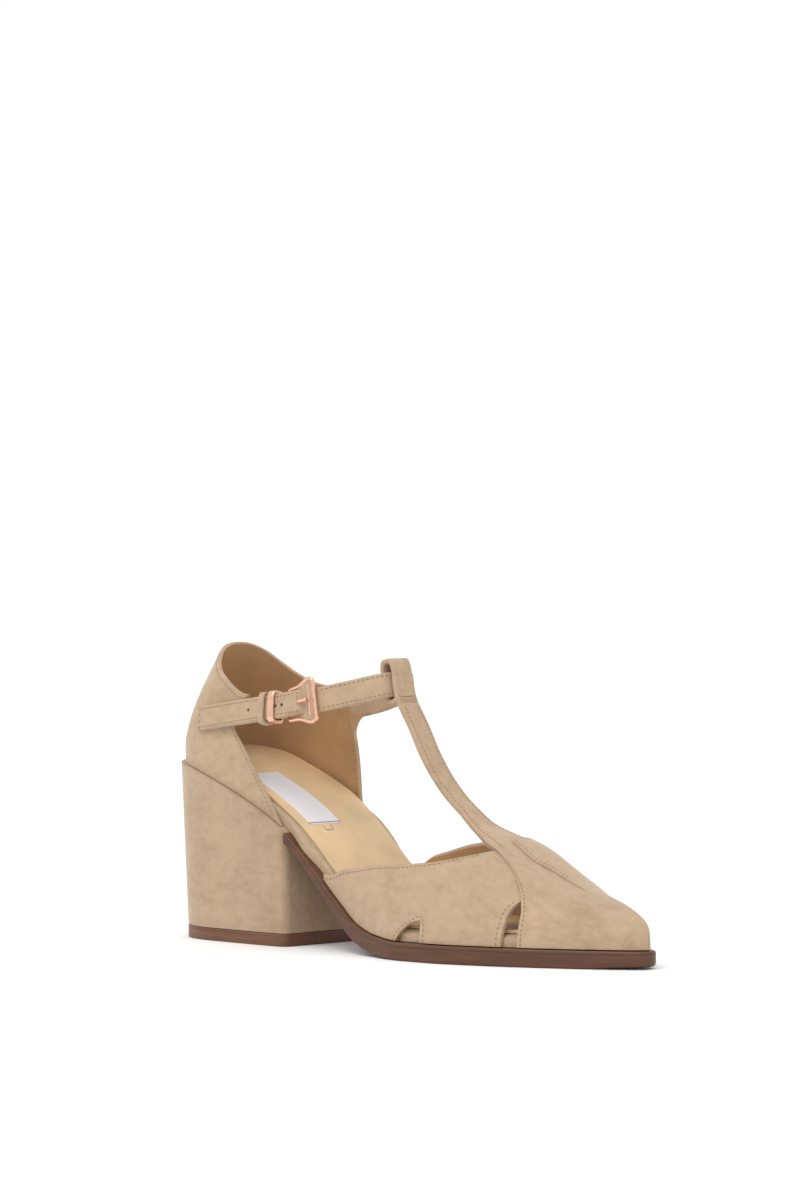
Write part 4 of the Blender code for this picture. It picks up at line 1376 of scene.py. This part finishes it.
def build_ankle_strap(line):
    """The strap with its tapered end and its punched holes."""
    offset = strap_offset(line)
    rings = strap_rings(line, line.place(TIP_PLACE), line.length() + STRAP_OVERLAP, 240, offset,
                        STRAP_WIDTH, STRAP_THICKNESS, tip=STRAP_TIP)
    piece = new_piece("ankle_strap_band", *loft(rings), ["suede"])
    guides = []
    for place in HOLE_PLACES:
        distance = line.place(place)
        point, _, out, up = line.at(distance)
        centre = point + out * offset(distance)
        ends = [centre - out * CUT_DEPTH, centre + out * CUT_DEPTH]
        guides.append(cutter(*tube(ends, HOLE_RADIUS, 16, [up, up])))
    cut_away(piece, guides)
    place_on_shoe(piece, "ankle_strap")


def build_wing_corner(line):
    """Rounded corner where the cup's inner front edge runs on into the strap."""
    end = line.length()
    point, _, out, up = line.at(end)
    reach = STRAP_WIDTH / 2.0 - WING_TUCK
    corner = point + out * tab_layer() - up * reach
    level = collar_top(2.0, 1)
    while cup_point(2.0, level, 1).z > corner.z:
        level -= 0.002
    sheets = ([], [])
    for depth, sheet in ((WALL / 2.0, sheets[0]), (-WALL / 2.0, sheets[1])):
        low = cup_point(2.0, level - WING_CORNER / 46.0, 1)
        face = Vector((0.0, depth - WALL / 2.0, 0.0))
        ahead, _, out, up = line.at(end - WING_CORNER)
        high = ahead + out * (tab_layer() + depth) - up * reach
        middle = cup_point(2.0, level, 1) + face - Vector((WING_LAP, 0.0, 0.0))
        low = low + face - Vector((WING_TUCK, 0.0, 0.0))
        for i in range(15):
            v = i / 14.0
            edge = low * (1 - v) ** 2 + middle * 2 * v * (1 - v) + high * v * v
            sheet.append([middle.lerp(edge, max(0.001, k / 8.0)) for k in range(9)])
    piece = new_wall("wing_corner", sheets[0], sheets[1], ["suede", "lining"])
    place_on_shoe(piece)


def build_strap_tab(line):
    rear = line.place(BUCKLE_PLACE)
    start = line.place(TAB_PLACE)
    rings = strap_rings(line, start, rear - FRAME_RADIUS - GAP, 70, lambda _: tab_layer(),
                        STRAP_WIDTH - TAB_NARROWER, TAB_THICKNESS)
    piece = new_piece("strap_tab", *loft(rings), ["suede"])
    place_on_shoe(piece, sharp=60.0)


# Buckle and keepers

def frame_outline():
    """Smooth outline of the buckle's frame: place along and height."""
    half = [(a * FRAME_LENGTH, h * FRAME_HEIGHT / 2.0) for a, h in FRAME_SHAPE]
    knots = [Vector((a, h, 0.0)) for a, h in half + [(a, -h) for a, h in reversed(half)]]
    smooth = smooth_path(knots + [knots[0]], 5)[:-1]
    return [(p.x, p.y) for p in smooth]


def buckle_point(line, along_at, height, lift=0.0):
    rear = line.place(BUCKLE_PLACE)
    front_out = tab_layer() + STRAP_THICKNESS / 2.0 + FRAME_RADIUS + FRAME_CLEARANCE
    point, _, out, up = line.at(rear + along_at)
    share = along_at / FRAME_LENGTH
    depth = tab_layer() + (front_out - tab_layer()) * share + lift
    return point + up * height + out * depth, out, up


def new_bar(name, path, radius, sides, frames, closed=False):
    return new_piece(name, *tube(path, radius, sides, frames, closed), ["metal"])


def build_buckle(line):
    rim = [buckle_point(line, along_at, height) for along_at, height in frame_outline()]
    piece = new_bar("buckle_rim", [p for p, _, _ in rim], RIM_RADIUS, 18,
                    [out for _, out, _ in rim], closed=True)
    place_on_shoe(piece, "buckle_frame", 80.0)

    bar = [buckle_point(line, FRAME_LENGTH - INNER_BAR_BACK, height, INNER_BAR_LIFT)
           for height in INNER_BAR_HEIGHTS]
    path = smooth_path([p for p, _, _ in bar], 4)
    piece = new_bar("buckle_inner_bar", path, INNER_BAR_RADIUS, 12, [bar[0][1]] * len(path))
    place_on_shoe(piece, sharp=80.0)

    rear = line.place(BUCKLE_PLACE)
    spots = [line.at(rear + along_at) for along_at, _ in PRONG_SHAPE]
    path = smooth_path([point + out * (tab_layer() + depth)
                        for (point, _, out, _), (_, depth) in zip(spots, PRONG_SHAPE)], 5)
    piece = new_bar("buckle_tongue", path, PRONG_RADIUS, 16, [spots[0][3]] * len(path))
    soften(piece, 0.0003, 2)
    place_on_shoe(piece, "buckle_prong", 60.0)


def build_buckle_plate(line):
    """Suede plate inside the buckle's rim: whole in front, two wings beside the strap."""
    outline = [(a, h) for a, h in frame_outline() if h >= 0.0]
    top = table("along height", sorted(set((round(a, 3), h) for a, h in outline)))
    places = []
    for a, h in sorted(zip(top["along"], top["height"])):
        if not places or a - places[-1][0] > 0.15:
            places.append((a, h))
    shape = {"along": [a for a, h in places], "height": [h for a, h in places]}
    for name, side in (("upper", 1), ("lower", -1)):
        rows = []
        for i in range(41):
            along_at = 0.5 + (FRAME_LENGTH - 1.3) * i / 40
            high = read(shape, "height", along_at)
            low = (STRAP_WIDTH / 2.0 + 0.25) * (1.0 - blend(5.9, 6.5, along_at))
            rows.append([buckle_point(line, along_at, side * (low + (max(high, low + 0.1) - low) * k / 10),
                                      PLATE_LIFT)[0] for k in range(11)])
        piece = new_piece("buckle_plate_" + name, *grid(rows), ["suede"], closed=False)
        face_outward(piece, ANKLE_MIDDLE)
        thicken(piece, 0.7, 0)
        soften(piece, 0.0002)
        place_on_shoe(piece)


def build_keeper(line, name, node, place, width, surface):
    point, along, out, up = line.at(line.place(place))
    inner = -WALL
    outer = free_layer() + STRAP_THICKNESS / 2.0
    centre = point + out * (inner + outer) / 2.0
    band = ring_band(centre, STRAP_WIDTH / 2.0 + KEEPER_CLEARANCE,
                     (outer - inner) / 2.0 + KEEPER_CLEARANCE, along, up, width, KEEPER_LAYER, 64, 4.5)
    piece = new_piece(name, *loft(band, closed=True), [surface])
    soften(piece, 0.0004, 3)
    place_on_shoe(piece, node)


# Sole, heel and boards

def ring_marks(levels, rings):
    """Level of each point of rings that run up one side and down the other."""
    return (levels + levels[::-1]) * len(rings)


def build_outsole():
    shares = [0.0, 0.08, 0.2, 0.4, 0.6, 0.8, 0.92, 1.0]
    layers = []
    for share in shares:
        inset = SOLE_ROUND * (1.0 - math.sqrt(1.0 - (1.0 - min(1.0, share / 0.2)) ** 2)) * 0.8
        inset += 0.35 * max(0.0, (share - 0.9) / 0.1)
        layers.append((inset, lambda x, s=share: sole_bottom(x) + s * (seat(x) - sole_bottom(x))))
    places = stations(HEEL_LENGTH + GAP, LENGTH, 150, soft_end=True)
    rings = [board_section(x, layers) for x in places]
    piece = new_piece("sole", *loft(rings), ["sole"], layer=ring_marks(shares, rings))
    soften(piece, 0.0003)
    place_on_shoe(piece, "outsole")


def heel_rings(heights):
    """Rings of the heel block from back to breast, finely spaced."""
    round_part = stations(0.0, BACK_ROUND, 40, soft_start=True)
    side_part = stations(BACK_ROUND, HEEL_LENGTH - HEEL_CORNER, 16)
    corner_part = stations(HEEL_LENGTH - HEEL_CORNER, HEEL_LENGTH, 12, soft_end=True)
    return [section(heights, lambda side, level, x=x: heel_point(x, side, level))
            for x in round_part + side_part[1:] + corner_part[1:]]


def build_heel():
    low = TOP_PIECE + GAP
    shares = [k / 12.0 for k in range(13)]
    levels = [(s, lambda x, s=s: low + s * (seat(x) - low)) for s in shares]
    piece = new_piece("heel_block", *loft(heel_rings(levels)), ["heel_suede"])
    soften(piece, 0.0006, 3, 60.0)
    place_on_shoe(piece, "heel")
    shares = [0.0, 0.25, 0.5, 0.75, 1.0]
    rings = heel_rings([(0, lambda x, s=s: TOP_PIECE * s) for s in shares])
    tip = new_piece("heel_tip", *loft(rings), ["heel_tip"], layer=ring_marks(shares, rings))
    soften(tip, 0.0004, 2, 60.0)
    place_on_shoe(tip, "top_piece")


def build_footbed():
    steps = 5
    layers = [(footbed_inset, lambda x: seat(x) + GAP)]
    for k in range(steps + 1):
        angle = math.pi / 2.0 * k / steps
        pull = FOOTBED_ROUND * (1.0 - math.cos(angle))
        drop = FOOTBED_ROUND * (1.0 - math.sin(angle))
        layers.append((lambda x, side, p=pull, s=k / steps: footbed_inset(x, side) + p + under_toe(x) * s,
                       lambda x, d=drop: seat(x) + FOOTBED - d))
    places = stations(0.0, LENGTH * FOOTBED_END, 170, soft_start=True, soft_end=True)
    rings = [board_section(x, layers) for x in places]
    piece = new_piece("footbed_cover", *loft(rings), ["suede"])
    place_on_shoe(piece, "footbed", sharp=50.0)


def sock_margin(x, side):
    return SOLE_LEDGE + WALL + 2.0 * GAP + FOOTBED_ROUND + 0.4 + under_toe(x)


def sock_top(x):
    return seat(x) + FOOTBED + GAP + SOCK


def build_sock():
    layers = [(sock_margin, lambda x: sock_top(x) - SOCK), (sock_margin, sock_top)]
    places = stations(0.0, LENGTH * SOCK_END, 150, soft_start=True, soft_end=True)
    rings = [board_section(x, layers) for x in places]
    piece = new_piece("sock", *loft(rings), ["sock"])
    soften(piece, 0.0004, 2)
    place_on_shoe(piece, "insole")


def label_point(along, across, lift=0.0):
    """Point on the label: along it from the heel end, across it, lifted off the sock."""
    x = LABEL_BACK + along
    return Vector((x, LABEL_MIDDLE + across, sock_top(x) + lift))


def build_label():
    rows = [[label_point(LABEL_LENGTH * i / 40, LABEL_WIDTH * (k / 12.0 - 0.5), 0.22) for k in range(13)]
            for i in range(41)]
    piece = new_piece("label", *grid(rows), ["label"], closed=False)
    piece.data.flip_normals()
    thicken(piece, 0.3, 0)
    soften(piece, 0.0001, 1)
    place_on_shoe(piece)


# Stitching

def stitch_tree():
    """Node group that lays stitches along edges, each aligned to the line and the surface."""
    tree = bpy.data.node_groups.new("stitch_line", "GeometryNodeTree")
    face = tree.interface
    face.new_socket("Geometry", in_out="INPUT", socket_type="NodeSocketGeometry")
    inputs = (("Spacing", 0.002), ("Length", 0.0015), ("Thread", 0.0004))
    for name, value in inputs:
        socket = face.new_socket(name, in_out="INPUT", socket_type="NodeSocketFloat")
        socket.default_value = value
    face.new_socket("Thread Material", in_out="INPUT", socket_type="NodeSocketMaterial")
    face.new_socket("Geometry", in_out="OUTPUT", socket_type="NodeSocketGeometry")

    def add(kind, **settings):
        node = tree.nodes.new(kind)
        for name, value in settings.items():
            setattr(node, name, value)
        return node

    start, end = add("NodeGroupInput"), add("NodeGroupOutput")
    curve = add("GeometryNodeMeshToCurve")
    points = add("GeometryNodeCurveToPoints", mode="LENGTH")
    outward = add("GeometryNodeInputNamedAttribute", data_type="FLOAT_VECTOR")
    outward.inputs["Name"].default_value = "outward"
    first = add("FunctionNodeAlignRotationToVector", axis="X")
    second = add("FunctionNodeAlignRotationToVector", axis="Z", pivot_axis="X")
    ball = add("GeometryNodeMeshUVSphere")
    for name, value in (("Segments", 8), ("Rings", 5), ("Radius", 0.5)):
        ball.inputs[name].default_value = value
    shape = add("ShaderNodeCombineXYZ")
    sized = add("GeometryNodeTransform")
    laid = add("GeometryNodeInstanceOnPoints")
    real = add("GeometryNodeRealizeInstances")
    smooth = add("GeometryNodeSetShadeSmooth")
    painted = add("GeometryNodeSetMaterial")
    links = (
        (start, "Geometry", curve, "Mesh"), (curve, "Curve", points, "Curve"),
        (start, "Spacing", points, "Length"), (points, "Tangent", first, "Vector"),
        (first, "Rotation", second, "Rotation"), (outward, "Attribute", second, "Vector"),
        (start, "Length", shape, "X"), (start, "Thread", shape, "Y"),
        (start, "Thread", shape, "Z"), (ball, "Mesh", sized, "Geometry"),
        (shape, "Vector", sized, "Scale"), (points, "Points", laid, "Points"),
        (sized, "Geometry", laid, "Instance"), (second, "Rotation", laid, "Rotation"),
        (laid, "Instances", real, "Geometry"), (real, "Geometry", smooth, "Geometry"),
        (smooth, "Geometry", painted, "Geometry"),
        (start, "Thread Material", painted, "Material"),
        (painted, "Geometry", end, "Geometry"))
    for source, output, target, socket in links:
        tree.links.new(source.outputs[output], target.inputs[socket])
    return tree


def sew(name, lines, surface="thread", spacing=None, length=None):
    """Stitches along lines of (point, outward direction), both in the shoe's millimetres."""
    mesh = bpy.data.meshes.new(name)
    points, edges, outs = [], [], []
    for line in lines:
        base = len(points)
        points += [to_world(point) for point, _ in line]
        outs += [out for _, out in line]
        edges += [(base + i, base + i + 1) for i in range(len(line) - 1)]
    mesh.from_pydata(points, edges, [])
    outward = mesh.attributes.new("outward", "FLOAT_VECTOR", "POINT")
    for i, out in enumerate(outs):
        outward.data[i].vector = out
    mesh.materials.append(MATERIALS[surface])
    piece = bpy.data.objects.new(name, mesh)
    bpy.context.collection.objects.link(piece)
    tree = bpy.data.node_groups.get("stitch_line") or stitch_tree()
    row = piece.modifiers.new("stitches", "NODES")
    row.node_group = tree
    values = {"Spacing": spacing or sizes().stitch_spacing, "Length": length or sizes().stitch_length,
              "Thread": sizes().thread, "Thread Material": MATERIALS[surface]}
    for item in tree.interface.items_tree:
        if item.in_out == "INPUT" and item.name in values:
            row[item.identifier] = values[item.name]
    place_on_shoe(piece, sharp=80.0)


def on_forepart(x, girth, lift):
    """Point just proud of the forepart and the direction out of it."""
    here = forepart_point(x, girth, lift)
    return here, (forepart_point(x, girth, lift + 1.0) - here).normalized()


def inward_girth(x, girth, toward, distance):
    """Girth at a distance round the section from a girth, going toward 1 or -1."""
    step = 0.004 * toward
    here, gone = forepart_point(x, girth), 0.0
    while gone < distance and abs(girth + step) < 0.999:
        girth += step
        there = forepart_point(x, girth)
        gone += (there - here).length
        here = there
    return girth


def edge_row(places, edge_at, toward, lift_at):
    """Line beside a panel's edge, going from it toward 1 or -1."""
    row = []
    for x in places:
        girth = inward_girth(x, edge_at(x), toward, EDGE_MARGIN)
        row.append(on_forepart(x, girth, lift_at(x, girth) + STITCH_LIFT))
    return row


def arch_row(side, arch, margin):
    """Line round an arched opening; the rear arch is sewn down its front edge too."""
    low, high = arch["along"][0] * LENGTH, arch["along"][-1] * LENGTH
    rise = max(arch["height"])
    top = arch["along"][arch["height"].index(rise)] * LENGTH
    row = []
    for height in [rise * k / 12.0 for k in range(1, 12)]:
        x = next(x for x in stations(low, top, 200) if cut_height(x) >= height - 0.05)
        row.append((x - margin, height))
    row.append((top - margin * 0.3, rise + margin))
    if arch is REAR_ARCH:
        row.append((top + margin * 0.9, rise + margin * 0.6))
        row += [(high + margin, rise * k / 6.0) for k in range(5, 0, -1)]
    line = []
    for x, height in row:
        girth = side * (1.0 - turn_at_height(x, height))
        lift = medial_lift(x, girth) if side > 0 else 0.0
        line.append(on_forepart(x, girth, lift + STITCH_LIFT))
    return line


def panel_stitches():
    """Lines along the side panels' top edges and round their arched openings."""
    start, throat = VAMP_START * LENGTH + 2.0, seam_place(1.0)
    lines = [
        edge_row(stations(start, throat - 2.0, 70), outer_edge, -1, lambda x, girth: 0.0),
        edge_row(stations(start, throat - 3.0, 70), medial_edge, 1, medial_lift),
        edge_row(stations(throat + 1.5, LAP_SEAM_END * LENGTH, 30), medial_edge, 1, medial_lift)]
    for side in (-1, 1):
        lines += [arch_row(side, REAR_ARCH, ARCH_MARGIN), arch_row(side, FRONT_ARCH, ARCH_MARGIN + 0.2)]
    return lines


def toe_stitches():
    """Line along the toe piece's rear edge on the outer side."""
    line = []
    for k in range(50):
        girth = -0.97 + 0.71 * k / 49
        x = toe_start(girth) + EDGE_MARGIN
        line.append(on_forepart(x, girth, OVERLAY_STEP + STITCH_LIFT))
    return [line]


def t_strap_stitches(line):
    """Lines along both edges of the T strap and the tack below its loop."""
    fine, half = t_strap_line(line)
    face = T_STRAP_THICKNESS / 2.0 + STITCH_LIFT

    def spot(i, share):
        here = t_strap_point(fine, half, i, share, face)
        return here, (t_strap_point(fine, half, i, share, face + 1.0) - here).normalized()

    def below(drop):
        return next(i for i, p in enumerate(fine) if p.z < fine[0].z - drop)

    edges = [[spot(i, edge * (1.0 - T_STRAP_MARGIN / half[i])) for i in range(below(14.0), len(fine) - 5)]
             for edge in (-1, 1)]
    tack = [[spot(start + k % 2, -0.78 + 1.56 * k / 12.0) for k in range(13)]
            for start in (below(8.0), below(8.0) + 2)]
    return edges, tack


def ankle_strap_stitches(line):
    """Lines round the strap's free end, closed at the buckle, and on to the inner side."""
    offset = strap_offset(line)
    start = line.place(TIP_PLACE)
    rear = line.place(BUCKLE_PLACE)
    face = STRAP_THICKNESS / 2.0 + STITCH_LIFT
    edge = STRAP_WIDTH / 2.0 - STRAP_MARGIN

    def spot(distance, height):
        point, _, out, up = line.at(distance)
        return point + out * (offset(distance) + face) + up * height, out

    closing = rear + CLOSING_SEAM
    lines = []
    for side in (-1, 1):
        lines.append([spot(d, side * edge) for d in stations(start + END_MARGIN, closing, 60)])
        lines.append([spot(d, side * edge)
                      for d in stations(rear + FRAME_LENGTH + 3.0, line.length() - 2.0, 110)])
    lines.append([spot(start + END_MARGIN, -edge + 2.0 * edge * k / 8.0) for k in range(9)])
    for low, high in ((-edge, -2.0), (2.0, edge)):
        lines.append([spot(closing, low + (high - low) * k / 4.0) for k in range(5)])
    return lines


def quarter_stitches():
    """Lines below the collar and behind the front edges, on the suede and the lining."""
    lines = []
    for depth in (STITCH_LIFT, -WALL - STITCH_LIFT):
        row = []
        for side, place in cup_turns()[5:-3]:
            here = cup_point(place, collar_top(place, side) - EDGE_MARGIN / 42.0, side)
            out = Vector((here.x - CUP_MIDDLE * LENGTH, here.y * 1.6, 0.0)).normalized()
            row.append((here + out * depth, out if depth > 0.0 else -out))
        lines.append(row)
        for side, high in ((-1, 0.50), (1, 0.57)):
            row = []
            for k in range(50):
                here = cup_point(2.0 - EDGE_MARGIN / 22.0, 0.03 + (high - 0.03) * k / 49, side)
                out = Vector((0.10, side, 0.0)).normalized()
                row.append((here + out * depth, out if depth > 0.0 else -out))
            lines.append(row)
    return lines


def label_stitches():
    """Stitches across the label's front end."""
    up = Vector((0.0, 0.0, 1.0))
    across = [(label_point(LABEL_LENGTH - 0.6, LABEL_WIDTH * (k / 10.0 - 0.5), 0.36), up)
              for k in range(11)]
    return [across]


def mark_stitches():
    """Three plain stitches just ahead of the label."""
    up = Vector((0.0, 0.0, 1.0))
    corners = [(1.0, -2.0), (2.6, -2.0), (2.6, 2.0), (1.0, 2.0)]
    return [[(label_point(LABEL_LENGTH + a, b, 0.1), up) for a, b in corners]]


# Stage

def build_floor():
    size = 6.0
    mesh = bpy.data.meshes.new("floor")
    mesh.from_pydata([(-size, -size, 0.0), (size, -size, 0.0), (size, size, 0.0), (-size, size, 0.0)],
                     [], [(0, 1, 2, 3)])
    pale = Nodes("floor").finish(None, None, Base_Color=(0.93, 0.93, 0.93, 1.0), Roughness=0.9)
    mesh.materials.append(pale)
    floor = bpy.data.objects.new("floor", mesh)
    bpy.context.collection.objects.link(floor)


def add_sun(name, toward, angle, strength):
    """Soft distant light that comes from a direction."""
    data = bpy.data.lights.new(name, "SUN")
    data.angle = math.radians(angle)
    data.energy = strength
    light = bpy.data.objects.new(name, data)
    light.rotation_mode = "QUATERNION"
    light.rotation_quaternion = Vector(toward).to_track_quat("Z", "Y")
    bpy.context.collection.objects.link(light)


def build_lights():
    bpy.context.scene.view_settings.view_transform = "Standard"
    world = bpy.data.worlds.new("studio")
    bpy.context.scene.world = world
    world.use_nodes = True
    world.node_tree.nodes["Background"].inputs["Color"].default_value = (1.0, 1.0, 1.0, 1.0)
    world.node_tree.nodes["Background"].inputs["Strength"].default_value = WORLD_LIGHT
    add_sun("key", KEY_FROM, 35.0, KEY_LIGHT)


def build_camera():
    azimuth, elevation = math.radians(CAMERA_AZIMUTH), math.radians(CAMERA_ELEVATION)
    back = Vector((math.sin(azimuth) * math.cos(elevation), -math.cos(azimuth) * math.cos(elevation),
                   math.sin(elevation)))
    right = Vector((math.cos(azimuth), math.sin(azimuth), 0.0))
    up = back.cross(right)
    data = bpy.data.cameras.new("camera")
    data.sensor_width = 36.0
    data.lens = CAMERA_LENS
    data.clip_start, data.clip_end = 0.05, 30.0
    per_pixel = CAMERA_DISTANCE / (CAMERA_LENS / 36.0 * PHOTO_HEIGHT)
    target = to_world(CAMERA_TARGET)
    aim = (target + right * (PHOTO_WIDTH / 2.0 - CAMERA_PIXEL[0]) * per_pixel
           - up * (PHOTO_HEIGHT / 2.0 - CAMERA_PIXEL[1]) * per_pixel)
    camera = bpy.data.objects.new("camera", data)
    camera.location = target + back * CAMERA_DISTANCE
    camera.rotation_mode = "QUATERNION"
    camera.rotation_quaternion = (camera.location - aim).to_track_quat("Z", "Y")
    bpy.context.collection.objects.link(camera)
    bpy.context.scene.camera = camera


# Operators

LINE = StrapLine()
SOFT_LINE = SmoothLine(LINE)


class SHOE_OT_materials(bpy.types.Operator):
    """Make the shoe's materials"""
    bl_idname = "shoe.materials"
    bl_label = "Materials"

    def execute(self, context):
        make_materials()
        return {"FINISHED"}


class SHOE_OT_sole(bpy.types.Operator):
    """Make the sole, the heel with its tip, the footbed and the sock with its bare label"""
    bl_idname = "shoe.sole"
    bl_label = "Sole and heel"

    def execute(self, context):
        build_outsole()
        build_heel()
        build_footbed()
        build_sock()
        build_label()
        return {"FINISHED"}


class SHOE_OT_forepart(bpy.types.Operator):
    """Make the side panels, the toe piece and the T strap with its loop"""
    bl_idname = "shoe.forepart"
    bl_label = "Forepart"

    def execute(self, context):
        build_lateral_panel()
        build_medial_panel()
        build_toe_piece()
        build_t_strap(LINE)
        build_loop(LINE)
        return {"FINISHED"}


class SHOE_OT_quarter(bpy.types.Operator):
    """Make the heel cup and the tab that carries the buckle"""
    bl_idname = "shoe.quarter"
    bl_label = "Heel cup"

    def execute(self, context):
        build_quarter()
        build_strap_tab(SOFT_LINE)
        build_wing_corner(SOFT_LINE)
        return {"FINISHED"}


class SHOE_OT_ankle_strap(bpy.types.Operator):
    """Make the ankle strap, the buckle and the two keepers"""
    bl_idname = "shoe.ankle_strap"
    bl_label = "Ankle strap and buckle"

    def execute(self, context):
        build_ankle_strap(SOFT_LINE)
        build_buckle(SOFT_LINE)
        build_buckle_plate(SOFT_LINE)
        build_keeper(SOFT_LINE, "keeper_metal", "metal_keeper", METAL_KEEPER_PLACE,
                     METAL_KEEPER_WIDTH, "metal")
        build_keeper(SOFT_LINE, "keeper_suede", "suede_keeper", SUEDE_KEEPER_PLACE,
                     SUEDE_KEEPER_WIDTH, "suede")
        return {"FINISHED"}


class SHOE_OT_stitching(bpy.types.Operator):
    """Sew the shoe's edges"""
    bl_idname = "shoe.stitching"
    bl_label = "Stitching"

    def execute(self, context):
        sew("stitches_panels", panel_stitches())
        sew("stitches_toe_piece", toe_stitches())
        edges, tack = t_strap_stitches(LINE)
        sew("stitches_t_strap", edges)
        sew("stitches_loop_tack", tack, spacing=0.0012, length=0.0011)
        sew("stitches_ankle_strap", ankle_strap_stitches(SOFT_LINE))
        sew("stitches_quarter", quarter_stitches())
        sew("stitches_label", label_stitches(), spacing=0.0012, length=0.001)
        sew("stitches_mark", mark_stitches(), "sock_thread", spacing=0.0009, length=0.0009)
        return {"FINISHED"}


class SHOE_OT_stage(bpy.types.Operator):
    """Add the floor, the lights and the camera"""
    bl_idname = "shoe.stage"
    bl_label = "Stage"

    def execute(self, context):
        build_floor()
        build_lights()
        build_camera()
        return {"FINISHED"}


class SHOE_PT_sidebar(bpy.types.Panel):
    """Lists the shoe's settings and the steps that make it"""
    bl_idname = "SHOE_PT_sidebar"
    bl_label = "T Strap Shoe"
    bl_space_type = "VIEW_3D"
    bl_region_type = "UI"
    bl_category = "Shoe"

    def draw(self, context):
        for settings in (context.scene.shoe_sizes, context.scene.shoe_colours):
            for name in settings.__annotations__:
                self.layout.prop(settings, name)
        for operator in OPERATORS:
            self.layout.operator(operator.bl_idname)


OPERATORS = (SHOE_OT_materials, SHOE_OT_sole, SHOE_OT_forepart, SHOE_OT_quarter,
             SHOE_OT_ankle_strap, SHOE_OT_stitching, SHOE_OT_stage)
CLASSES = (ShoeSizes, ShoeColours) + OPERATORS + (SHOE_PT_sidebar,)


def register():
    for entry in CLASSES:
        bpy.utils.register_class(entry)
    bpy.types.Scene.shoe_sizes = bpy.props.PointerProperty(type=ShoeSizes)
    bpy.types.Scene.shoe_colours = bpy.props.PointerProperty(type=ShoeColours)


def unregister():
    del bpy.types.Scene.shoe_sizes
    del bpy.types.Scene.shoe_colours
    for entry in reversed(CLASSES):
        bpy.utils.unregister_class(entry)


def main():
    register()
    for operator in OPERATORS:
        category, name = operator.bl_idname.split(".")
        getattr(getattr(bpy.ops, category), name)()


if __name__ == "__main__":
    main()
